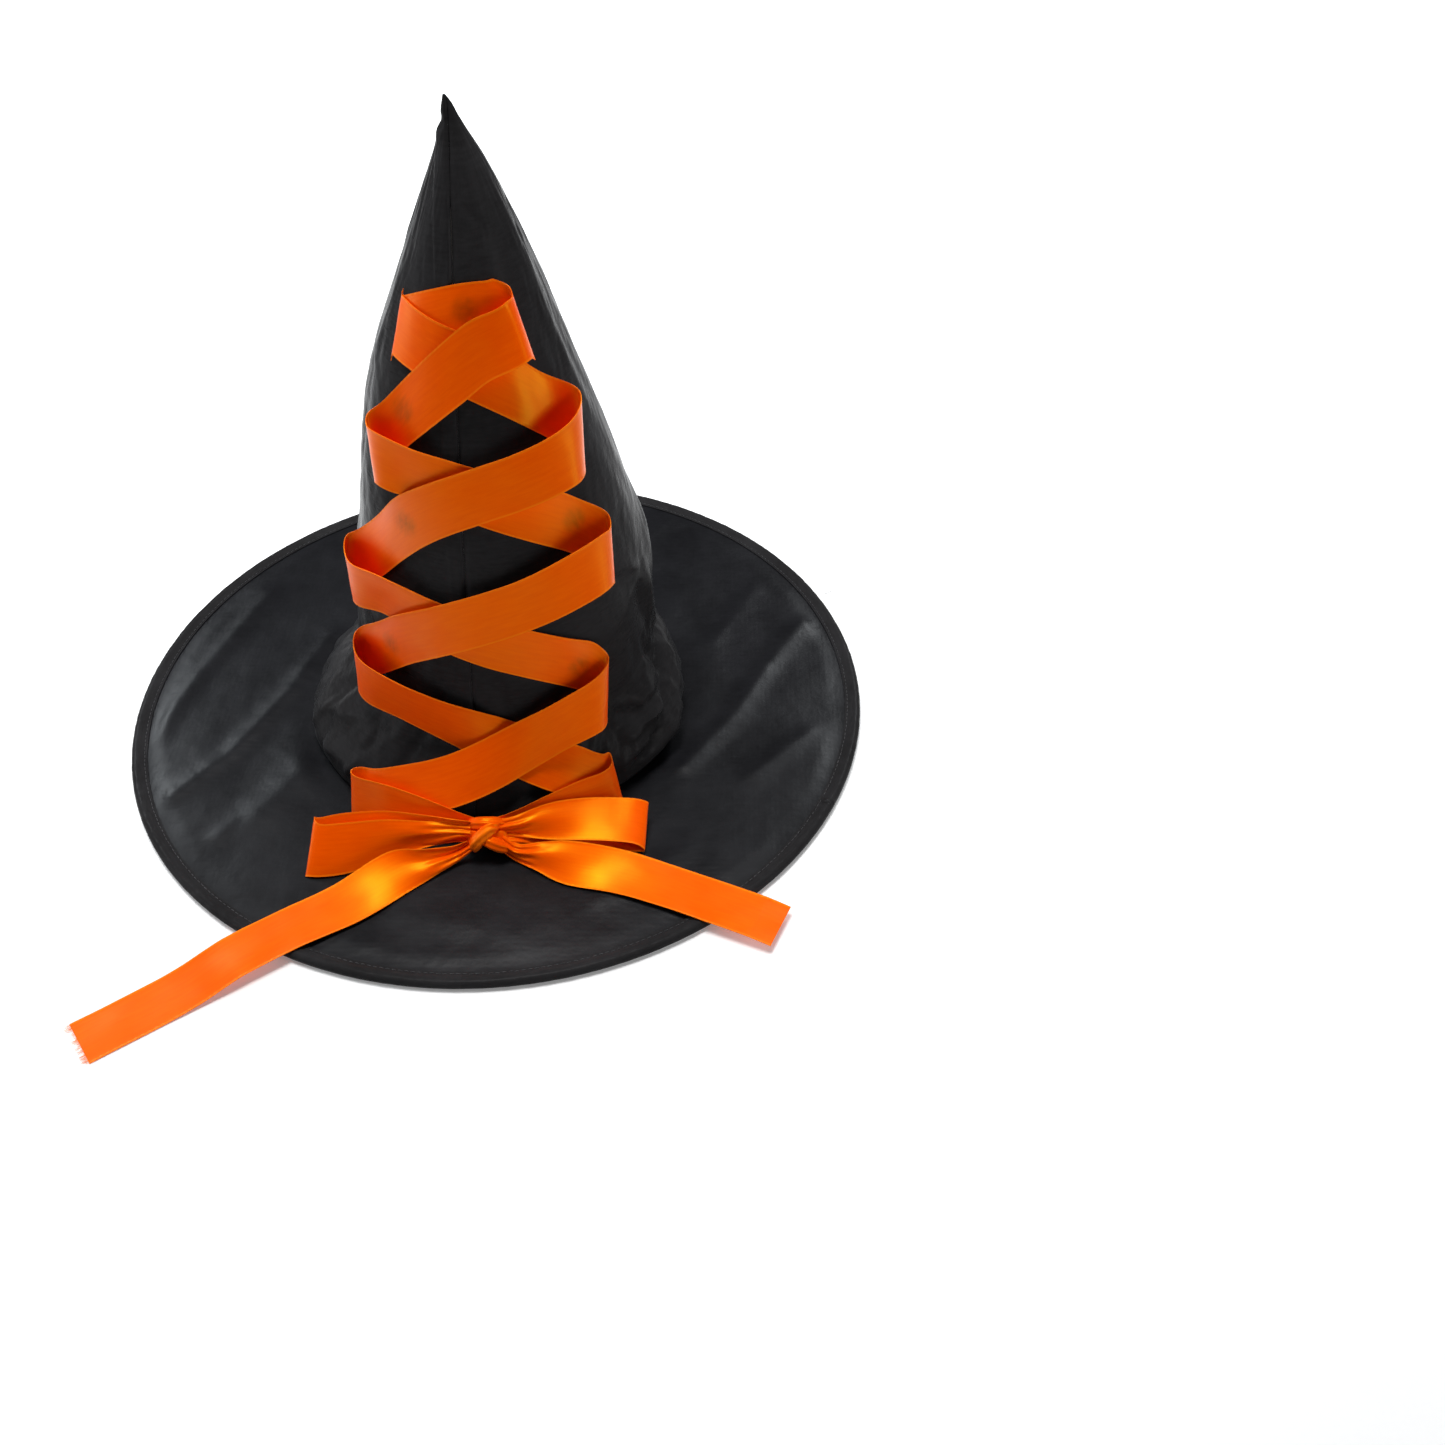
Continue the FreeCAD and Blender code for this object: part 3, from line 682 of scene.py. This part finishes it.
# Section of the hem's strip, from its upper edge over the hoop to its lower edge: radius and height.
HEM_SECTION = ((181.9, 3.72), (183.1, 3.95), (184.3, 4.2), (185.4, 4.62), (186.4, 4.86), (187.4, 4.98),
               (188.5, 4.72), (189.3, 4.05), (189.75, 3.2), (189.75, 2.3), (189.4, 1.4), (188.7, 0.7),
               (187.6, 0.3), (186, 0.24), (184, 0.26), (182.1, 0.3))
HEM_COLUMNS = 1100
HEM_LOWEST = 0.24
HEM_RADIUS = 187.0   # that its length is measured at
HEM_JOIN = 64.7   # where the ends of its strip are joined, in degrees from the front towards +X
STITCH_COUNT = 392
STITCH_RADIUS, STITCH_Z, STITCH_RISE = 183.2, 3.98, 0.16
STITCH_SHARE = 0.74   # of each stitch's pitch that its thread is seen on
THREAD_SIDES = 6


def brim_hem():
    """Strip folded round the edge and the hoop, with puckers at the stitching and a notch at its join."""
    section = smooth_rows(HEM_SECTION, 2)
    angle = whole_turn(HEM_COLUMNS)
    r, z = section[:, 0:1], section[:, 1:2]
    share = np.linspace(0, 1, len(section))[:, None]
    fine = noise_at(stack(46 * np.cos(angle), 46 * np.sin(angle), share * 2))
    slow = noise_at(stack(12 * np.cos(angle), 12 * np.sin(angle), share + 7))
    top = smoothstep(0.62, 0.5, share)
    lift = top * (0.16 * fine + 0.12 * slow) * smoothstep(0, 0.1, share + 0.03)
    stitch_dip = top * -0.22 * np.exp(-((r - STITCH_RADIUS) / 0.55) ** 2)
    from_join = around(np.degrees(angle) - HEM_JOIN)
    notch = np.exp(-(from_join / 0.16) ** 2) * top
    flap = np.exp(-((from_join - 0.55) / 0.4) ** 2) * top
    z = z + lift + stitch_dip - 0.5 * notch + 0.55 * flap
    r = r + 0.1 * fine * smoothstep(0.3, 0.4, share) - 0.35 * notch
    wide = np.linspace(0, 2 * math.pi, HEM_COLUMNS + 1)[None] * HEM_RADIUS
    return shell("brim_hem", round_brim(r, angle, np.maximum(z, HEM_LOWEST)), BRIM_CLOTH_THICK,
                 stack(wide, length_along(section)[:, None]), closed=True)


brim_edge = dress(brim_hem(), SATIN, "hat", ("brim_edge_binding",))


def stitches():
    """Tubes of the stitches round the hem, and of two loose ends of thread on the brim."""
    made = []
    pitch = 2 * math.pi / STITCH_COUNT
    for k in range(STITCH_COUNT):
        bend = 2 * math.pi * k / STITCH_COUNT + np.linspace(0, STITCH_SHARE * pitch, 5)
        radius = STITCH_RADIUS + 0.08 * math.sin(k * 1.7)
        rise = STITCH_Z + STITCH_RISE * np.array([-0.6, 0.6, 1, 0.6, -0.6])
        made.append((round_brim(radius, bend, rise), [0.09, 0.15, 0.17, 0.15, 0.09], THREAD_SIDES))
    loose = ((173.5, 77.5, 5.2), (175.3, 79.3, 6.4), (177.6, 80, 6.8), (178.5, 82.5, 5.6), (180.5, 83, 5.8))
    snag = ((166.4, -79.8, 4.9), (167.6, -80.4, 6.2), (169.2, -80.2, 6.6), (170.4, -81.8, 5.6))
    for stations, radius in ((loose, 0.14), (snag, 0.13)):
        made.append((smooth_rows(stations, 6), radius, THREAD_SIDES))
    return made


dress(tubes_object("hem_stitching", stitches()), BLACK_THREAD, "hat")

BAND_RADIUS, BAND_COLUMNS = 88.4, 400


def head_band():
    """The sweatband, which stands in the head opening; its upper part sways a little."""
    z = np.linspace(0.15, 19.85, 22)[:, None]
    angle = whole_turn(BAND_COLUMNS)
    sway = noise_at(stack(6 * np.cos(angle), 6 * np.sin(angle), z / 22))
    radius = BAND_RADIUS + 0.12 * sway * smoothstep(1, 8, z)
    wide = np.linspace(0, 2 * math.pi, BAND_COLUMNS + 1)[None] * BAND_RADIUS
    return shell("head_band", round_brim(radius, angle, z + 0.12 * sway * (z > 10)), TAPE_THICK, stack(wide, z),
                 closed=True)


head_tape = dress(head_band(), TAPE, "hat", ("sweatband",))


# ---- ribbon ----

# The lacing's stations: phi, height, stand-off, lean. The first list runs down from the top's left turn to the left
# leg of the bow, and the second from the same turn over the top and down to the right leg.
FIRST_HALF = (
    (-46, 238, 1.8, 0), (-22, 234, 2.2, 2), (5, 227.5, 2.2, 0), (30, 216, 1.8, 0), (46, 204, 1.6, 0),
    (55, 197, 4.7, 0), (56, 193, 10, -4), (48, 190, 15, -6), (36, 186, 13, 0), (20, 180.5, 8, 2),
    (4, 175.5, 5.2, 2), (-15, 167.5, 4.6, 5), (-32, 155, 3.4, 6), (-46, 139, 2.2, 0), (-57, 126, 4.2, 0),
    (-61, 120, 9, 4), (-54, 117, 11.5, 12), (-42, 117, 5.5, 20), (-24, 111, 2.2, 6), (-4, 104, 1.9, 0),
    (14, 95, 1.8, 0), (28, 85, 2, 0), (38, 76, 3.6, -6), (41, 69, 8.2, -12), (39, 66, 13, -18),
    (34, 63, 14, -18), (24, 57, 11.5, -10), (10, 47, 10, 0), (-8, 35, 9, 0), (-22, 25.5, 7, 0),
    (-32, 18, 6, 0), (-37.5, 14.5, 5, -10))
SECOND_HALF = (
    (-46, 238, 1.0, 0), (-20, 244, 1.1, 0), (5, 247.5, 1.2, 0), (26, 247, 1.6, 0), (38, 244, 4.7, 0),
    (40, 242, 8, 0), (34, 242, 11, -4), (26, 239.5, 9.5, 0), (12, 235, 6.5, 3), (-3, 227, 4.9, 2),
    (-20, 215, 3.4, 2), (-35, 202, 2.2, 0), (-43, 192, 4.7, 0), (-45, 188, 9, 2), (-38, 187.5, 11, 4),
    (-25, 182.5, 4.9, 16), (-10, 177.5, 2, 6), (6, 172, 1.9, 0), (22, 164, 1.8, 0), (38, 153.5, 1.6, 0),
    (48, 144, 3, 0), (52, 138, 8.2, -4), (50, 136, 13, -8), (45, 136, 15, -10), (32, 131.5, 12, -4),
    (15, 123.5, 7.2, 2), (-1, 117, 5.4, 2), (-16, 109.5, 5, 4), (-32, 98, 3.8, 6), (-46, 83, 2.4, 0),
    (-55, 74, 5.2, 0), (-55, 69, 10, 0), (-47, 67, 12.5, 0), (-34, 63.5, 8, 8), (-18, 57.5, 5.2, 4),
    (-4, 51, 5, 0), (12, 41, 4.8, 0), (26, 30, 3.6, 0), (33.5, 21.8, 2.2, 0), (38.5, 17.5, 1.6, 0))
TOP_LEFT_TURN = ((-48.6, 238, 1.4, 0),)
# Stations of the bow: centre of the ribbon, direction across it, width it is gathered to.
LEG_LEFT = ((-64.4, -79.3, 13.8, 0, 0.3, 0.95, 24.5), (-66.2, -81.5, 13.6, 0, 0.4, 0.92, 23.5),
            (-64, -84, 13.8, 0, 0.48, 0.88, 22.5), (-50, -91.5, 17.6, 0.1, 0.45, 0.88, 22.5),
            (-34, -98.2, 19.6, 0.05, 0.4, 0.91, 19.5), (-20, -100.9, 19.8, 0, 0.35, 0.94, 14),
            (-8, -103.0, 18, 0, 0.3, 0.95, 9), (0, -104.5, 16.5, 0, 0.3, 0.95, 7))
LEG_RIGHT = ((64.3, -71.8, 15.9, -0.3, 0.35, 0.88, 25), (67, -74.4, 15.4, -0.25, 0.3, 0.92, 24),
             (66.2, -79, 15.1, -0.2, 0.3, 0.94, 23), (62.6, -82, 15, -0.15, 0.3, 0.94, 22),
             (50, -88.5, 16.2, 0, 0.38, 0.92, 21.5), (36, -94.3, 17.2, 0, 0.38, 0.92, 17),
             (25, -98.8, 17.2, 0, 0.35, 0.94, 12), (14, -102.5, 16.5, 0, 0.3, 0.95, 8),
             (7, -104, 16, 0, 0.3, 0.95, 7))
LOOP_LEFT = ((-3, -107.4, 17, 0, 0.45, 0.89, 8), (-11, -107.8, 18, 0, 0.45, 0.89, 10),
             (-26, -107.3, 15.6, 0.03, 0.55, 0.83, 16), (-44, -107.4, 14.2, 0.08, 0.6, 0.8, 21.5),
             (-62, -110.2, 13.6, 0.13, 0.65, 0.75, 24.5), (-74, -113.4, 13.6, 0.15, 0.66, 0.73, 25),
             (-78.6, -115.6, 14.2, 0.16, 0.67, 0.72, 25), (-74, -118.2, 14.2, 0.15, 0.66, 0.73, 25),
             (-60, -116.6, 14.2, 0.13, 0.65, 0.75, 24), (-43, -112.4, 14.4, 0.08, 0.6, 0.8, 20),
             (-25, -109.5, 15.2, 0.03, 0.5, 0.86, 13), (-11, -108.9, 15.6, 0, 0.45, 0.89, 9),
             (-3, -109, 15, 0, 0.45, 0.89, 8))
LOOP_RIGHT = ((11, -107, 17, 0, 0.5, 0.86, 8), (19, -106.8, 18, 0, 0.55, 0.83, 10),
              (33, -104, 18.2, 0, 0.8, 0.6, 17), (48, -101.4, 17, 0, 0.94, 0.35, 21.5),
              (64, -100.4, 15.6, 0.02, 0.97, 0.22, 24),
              (75.5, -100.2, 13.8, 0.04, 0.96, 0.24, 24.5), (80.3, -100.4, 10, 0.05, 0.95, 0.28, 24.5),
              (75, -100.4, 6.8, 0.04, 0.99, 0.08, 24.5), (62, -100, 5.6, 0.02, 1, 0, 23),
              (46, -102.4, 6.6, 0, 1, 0.05, 18), (32, -105.4, 9.8, 0, 0.85, 0.5, 13),
              (19, -108, 14.2, 0, 0.6, 0.8, 10), (11, -108.5, 14.5, 0, 0.6, 0.8, 8))
TAIL_LEFT = ((-3.5, -113.6, 11.8, -0.35, 0.5, 0.79, 5.5), (-10.5, -116, 9.0, -0.4, 0.5, 0.77, 8),
             (-22, -122.3, 10.0, -0.45, 0.62, 0.64, 13.5), (-36, -127.5, 9.2, -0.52, 0.75, 0.4, 22),
             (-58, -144, 6.6, -0.58, 0.81, 0.08, 25), (-82, -158.8, 6.2, -0.58, 0.81, 0, 25),
             (-102, -172.8, 6.0, -0.58, 0.81, 0, 25), (-110, -178.8, 4.9, -0.58, 0.81, 0, 25),
             (-122, -187.6, 2.0, -0.58, 0.81, 0, 25), (-136, -197.6, 0.7, -0.58, 0.81, 0, 25),
             (-163, -217, 0.5, -0.58, 0.81, 0, 25))
TAIL_RIGHT = ((11.5, -112.3, 12.8, 0.3, 0.5, 0.8, 6), (18.5, -115.5, 9.0, 0.3, 0.5, 0.8, 8),
              (30, -118.8, 10.2, 0.25, 0.75, 0.6, 14), (43.5, -122.5, 9.8, 0.15, 0.87, 0.46, 21),
              (68, -126.5, 7.6, 0.3, 0.94, 0.14, 24), (92, -134.8, 6.3, 0.4, 0.915, 0, 25),
              (128, -150.7, 6.1, 0.404, 0.915, 0, 25), (135.5, -154, 5.6, 0.404, 0.915, 0, 25),
              (143.5, -157.6, 4.6, 0.404, 0.915, 0, 25))
# Insides of the lacing's turns, where red bounce light between the faces is painted into the ribbon: phi and
# height.
PAINTED_BOUNCE_SPOTS = ((-45, 190), (-58, 124), (-53, 73), (53, 199), (44, 240))
# Points across the ribbon as shares of its half width: closer at the woven edges, or even where it has pleats.
PLEATED = np.linspace(-1, 1, 41)
ACROSS = np.array([-1, -0.975, -0.92, -0.8, -0.6, -0.4, -0.2, 0, 0.2, 0.4, 0.6, 0.8, 0.92, 0.975, 1])


def relaxed(values, passes):
    """Rows of values smoothed along the ribbon, with both ends kept."""
    values = values.copy()
    for _ in range(passes):
        values[1:-1] = 0.5 * values[1:-1] + 0.25 * (values[:-2] + values[2:])
    return values


def lacing_rows():
    """Centres, directions across and widths of the whole lacing, from the left leg of the bow to the right leg."""
    stations = FIRST_HALF[::-1] + TOP_LEFT_TURN + SECOND_HALF
    phi, z, standoff, lean = smooth_rows(stations, 4).T
    upright = np.maximum(0, 1 - standoff / 8.0)
    on_crown = np.hstack([crown_point(phi, z, standoff), up_the_side(phi * upright, z, lean),
                          np.full((len(phi), 1), RIBBON_WIDTH)])
    # the right turn at the top leans to the left
    on_crown[:, 3] -= 0.33 * smoothstep(230, 238, z) * smoothstep(24, 36, phi)
    rows = smooth_rows(np.vstack([LEG_LEFT[::-1], on_crown, LEG_RIGHT]), 3)
    rows[:, :3] = relaxed(rows[:, :3], 14)
    rows[:, 3:6] = relaxed(rows[:, 3:6], 34)
    return rows


def ribbon_grid(rows, pleat_phase, sway, seed):
    """Grid of the ribbon's middle surface, its places on the flat ribbon, and its points across. A ribbon with a
    pleat_phase has pleats where it is gathered to less than its width."""
    centre, across, width = rows[:, 0:3], unit(rows[:, 3:6]), rows[:, 6]
    along = unit(np.gradient(centre, axis=0))
    most_slant = 0.62
    slant = np.clip((along * across).sum(1), -most_slant, most_slant)
    half = 0.5 * width * relaxed(1 / np.sqrt(1 - slant**2), 12)
    face = unit(np.cross(along, across))
    run = length_along(centre)
    s = ACROSS if pleat_phase is None else PLEATED
    grid = centre[:, None] + across[:, None] * (half[:, None] * s)[..., None]
    ripple = sway * noise_at(stack(run[:, None] / 17, s, seed))
    if pleat_phase is not None:
        share = np.clip(RIBBON_WIDTH / width, 1, 5)
        deep = 0.3 * (width / 9.5) * np.sqrt(2 * np.maximum(share**2 - 1, 0)) * smoothstep(24.6, 16, width)
        deep = np.minimum(deep, 1.5)
        wander = 0.7 * noise_at(stack(run / 30, 0, seed + 9))[:, None]
        wave = np.sin(3.6 * s + pleat_phase + wander)
        tight = smoothstep(16, 9, width)[:, None]
        ripple = ripple + deep[:, None] * (wave + 0.6 * tight * np.sin(9.7 * s + 2 * wander))
    grid = grid + face[:, None] * ripple[..., None]
    return grid, stack(run[:, None], RIBBON_WIDTH / 2 * s), s


def clear_of_crown(grid, gap):
    """Moves points of a ribbon out to that gap from the crown's cloth."""
    z = grid[..., 2]
    x, y = grid[..., 0] - crown_axis(z), grid[..., 1]
    out = np.hypot(x, y)
    phi = np.degrees(np.arctan2(x, -y))
    need = crown_radius(z) + crown_relief(phi, z) + gap
    push = np.maximum(need - out, 0)
    return grid + stack(x / out * push, y / out * push, 0)


def ribbon_thickness(s, rows):
    at_edge = np.abs(s) > RIBBON_EDGE_FROM
    return np.broadcast_to(np.where(at_edge, RIBBON_EDGE_THICK, RIBBON_THICK), (rows, len(s)))


def mark_ribbon(piece, name, spots, standoff, outer, inner):
    """Marks the lacing round spots at that stand-off from the crown, from outer mm off them to inner: with glue for
    stains, or with painted red bounce light that the faces of a turn throw on each other. It fades off the crown."""
    points = np.array([v.co for v in piece.data.vertices]) / MM
    mark = np.zeros(len(points))
    for phi, z in spots:
        spot = crown_point(np.array(float(phi)), np.array(float(z)), standoff)
        mark = np.maximum(mark, smoothstep(outer, inner, np.linalg.norm(points - spot, axis=1)))
    height = points[:, 2]
    lifted = np.hypot(points[:, 0] - crown_axis(height), points[:, 1]) - crown_radius(height)
    layer = piece.data.attributes.new(name, "FLOAT", "POINT")
    layer.data.foreach_set("value", (mark * smoothstep(10, 6.5, lifted)).astype(np.float32))


lace_grid, lace_uv, lace_s = ribbon_grid(lacing_rows(), None, 0.25, 2.0)
lace_grid = clear_of_crown(lace_grid, 0.55)
lacing = shell("lacing_ribbon", lace_grid, ribbon_thickness(lace_s, len(lace_grid)), lace_uv)
mark_ribbon(lacing, "glue", GLUE_SPOTS, 1.5, 7.5, 3.0)
# Painted red bounce light inside the lacing's turns, near the crown.
mark_ribbon(lacing, "painted_bounce_red", PAINTED_BOUNCE_SPOTS, 3.5, 21, 7)
dress(lacing, RIBBON, "hat", (
    "lacing_top", "lacing_over_1", "lacing_over_2", "lacing_over_3", "lacing_over_4",
    "lacing_under_1", "lacing_under_2", "lacing_under_3", "lacing_under_4", "bow_leg_left", "bow_leg_right"))


def bow_piece(name, stations, phase, seed):
    """Loop or tail of the bow, a length of the same ribbon."""
    grid, uv, s = ribbon_grid(smooth_rows(stations, 9), phase, 0.2, seed)
    made = shell(name, grid, ribbon_thickness(s, len(grid)), uv)
    made.data.materials.append(RIBBON)
    return made


loop_left = bow_piece("bow_loop_left_ribbon", LOOP_LEFT, 0.4, 21.0)
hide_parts("bow_loop_left")
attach(loop_left, "loop_left")
loop_right = bow_piece("bow_loop_right_ribbon", LOOP_RIGHT, 1.1, 31.0)
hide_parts("bow_loop_right")
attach(loop_right, "loop_right")
tail_left = bow_piece("bow_tail_left_ribbon", TAIL_LEFT, 0.2, 41.0)
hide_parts("tail_left", "tail_left_end")
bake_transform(tail_left)
tail_right = bow_piece("bow_tail_right_ribbon", TAIL_RIGHT, 0.8, 51.0)
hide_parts("tail_right", "tail_right_end")
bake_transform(tail_right)


def knot_rolls():
    """The knot: a band of gathered ribbon wrapped over the crossing, and the turns it pulls tight beside it."""
    top = ((-4, -104.2, 15), (-1, -105, 17.8), (4, -105.8, 18.8), (10, -105, 18), (13, -104, 15.5))
    over = ((10, -105.5, 18.2), (7, -108.5, 18.8), (3, -111.8, 16.8), (-0.5, -113.4, 13), (-1.5, -112.5, 9))
    lower = ((1.5, -110.5, 14), (6, -113, 14), (10.5, -114, 12), (14, -113.6, 9.5))
    back = ((-5, -106.5, 12.5), (2, -108, 12.5), (9, -108, 12.5), (14, -107, 13))
    sides, flute_depth = 36, 0.09
    made = []
    for stations, wide, flutes in ((top, 3.3, 7), (over, 3.3, 6), (lower, 3.1, 6), (back, 4.6, 5)):
        path = smooth_rows(stations, 8)
        t = np.linspace(0, 1, len(path))
        radii = wide * (0.55 + 0.45 * np.sin(math.pi * np.clip(t, 0.04, 0.96)) ** 0.6)
        made.append((path, radii, sides, flutes, flute_depth))
    return made


knot = tubes_object("bow_knot_wrap", knot_rolls())
dress(knot, RIBBON, "hat", ("bow_knot",))


FRAYED_THREADS, FRAY_SIDES = 70, 4
FRAY_RADII = (0.1, 0.1, 0.09, 0.08, 0.07, 0.05)


def frayed_end():
    """Threads that stick out of the cut end of the left tail."""
    before, end = np.array(TAIL_LEFT[-2][:3]), np.array(TAIL_LEFT[-1][:3])
    along, across = unit(end - before), np.array(TAIL_LEFT[-1][3:6])
    t = np.linspace(0, 1, len(FRAY_RADII))[:, None]
    made = []
    for _ in range(FRAYED_THREADS):
        start = end + across * rng.uniform(-12.3, 12.3) - along * 0.4
        length = rng.uniform(1.0, 3.6)
        sideways, upwards = rng.normal(0, 0.5, 2)
        drift = across * sideways + np.array((0, 0, abs(upwards) * 0.6))
        made.append((start + along * length * t + drift * t * t, FRAY_RADII, FRAY_SIDES))
    return made


dress(tubes_object("tail_left_fray", frayed_end()), ORANGE_THREAD, "tail_left_end")


# ---- CAD pieces that stay: the inside of the brim, and the glue ----

for node_name, node_material in (("brim_interlining", FELT), ("glue_dots", hot_glue()),
                                 ("brim_hoop_wire", metal("drawn_spring_steel", (0.5, 0.5, 0.5), 0.25, (1, 1, 30))),
                                 ("hoop_joiner", metal("brass_tube", (0.72, 0.5, 0.22), 0.3, (1, 1, 20)))):
    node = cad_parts[node_name]
    node.data.materials.clear()
    node.data.materials.append(node_material)


# ---- floor, light and camera: places and sizes in m ----

FLOOR_X, FLOOR_Y = (-6, 6), (-3, 14)
WORLD_LIGHT = 0.09
# The photo's camera, solved from the brim's outline: lens and sensor in mm, tilt and roll in degrees.
CAMERA_PLACE, CAMERA_TILT, CAMERA_ROLL = (0.11724, -0.62065, 0.58296), 45.953, -0.327
CAMERA_LENS, CAMERA_SENSOR = 39.862, 36


def area_light(name, place, aim, size, watts, colour=(1, 1, 1)):
    lamp = bpy.data.lights.new(name, "AREA")
    lamp.shape = "RECTANGLE"
    lamp.size, lamp.size_y = size
    lamp.energy = watts
    lamp.color = colour
    holder = bpy.data.objects.new(name, lamp)
    holder.location = place
    holder.rotation_euler = (Vector(aim) - Vector(place)).to_track_quat("-Z", "Y").to_euler()
    bpy.context.scene.collection.objects.link(holder)


def floor():
    """White paper, which shines a little more towards the back, as the photo's does."""
    made, tree = new_material("white_paper")
    grain = noise_value(tree, solid_place(tree), 400.0)
    place = add(tree, "ShaderNodeSeparateXYZ", {"Vector": solid_place(tree)}).outputs["Y"]
    # The paper's emission is painted light: it glows weakly near the front and more strongly towards the back.
    connect(tree, tree.nodes["Principled BSDF"], {
        "Base Color": blend_colour(tree, grain, (0.88, 0.88, 0.88), (0.91, 0.91, 0.91)),
        "Roughness": 0.9, "Specular IOR Level": 0.1,
        "Emission Color": (1, 1, 1, 1), "Emission Strength": spread(tree, place, 0.05, 0.8, -0.4, 0.9)})
    mesh = bpy.data.meshes.new("floor")
    (left, right), (near, far) = FLOOR_X, FLOOR_Y
    mesh.from_pydata([(left, near, 0), (right, near, 0), (right, far, 0), (left, far, 0)], [], [(0, 1, 2, 3)])
    mesh.materials.append(made)
    piece = bpy.data.objects.new("floor", mesh)
    bpy.context.scene.collection.objects.link(piece)


floor()
world = bpy.data.worlds.new("studio")
bpy.context.scene.world = world
world.use_nodes = True
connect(world.node_tree, world.node_tree.nodes["Background"], {"Color": (1, 1, 1, 1), "Strength": WORLD_LIGHT})
area_light("key_overhead", (-0.1, 0.18, 1.5), (0, 0, 0.1), (0.7, 0.5), 21)
area_light("window_back_left", (-0.9, 0.85, 0.8), (-0.1, 0, 0), (0.35, 0.4), 7, (0.9, 0.96, 1))
area_light("window_back_right", (0.62, 1.0, 0.92), (0.1, 0, 0), (0.35, 0.4), 7, (0.93, 0.97, 1))
area_light("window_left", (-1.25, -0.1, 0.6), (0, 0, 0.1), (0.35, 0.9), 4.5, (0.93, 0.97, 1))
area_light("window_right", (1.15, -0.6, 0.28), (0, 0, 0.12), (0.25, 0.4), 3)
bpy.context.scene.view_settings.view_transform = "Standard"

camera_data = bpy.data.cameras.new("camera")
camera_data.lens = CAMERA_LENS
camera_data.sensor_width = CAMERA_SENSOR
camera = bpy.data.objects.new("camera", camera_data)
camera.matrix_world = (Matrix.Translation(CAMERA_PLACE) @ Matrix.Rotation(math.radians(CAMERA_TILT), 4, "X")
                       @ Matrix.Rotation(math.radians(CAMERA_ROLL), 4, "Z"))
bpy.context.scene.collection.objects.link(camera)
bpy.context.scene.camera = camera
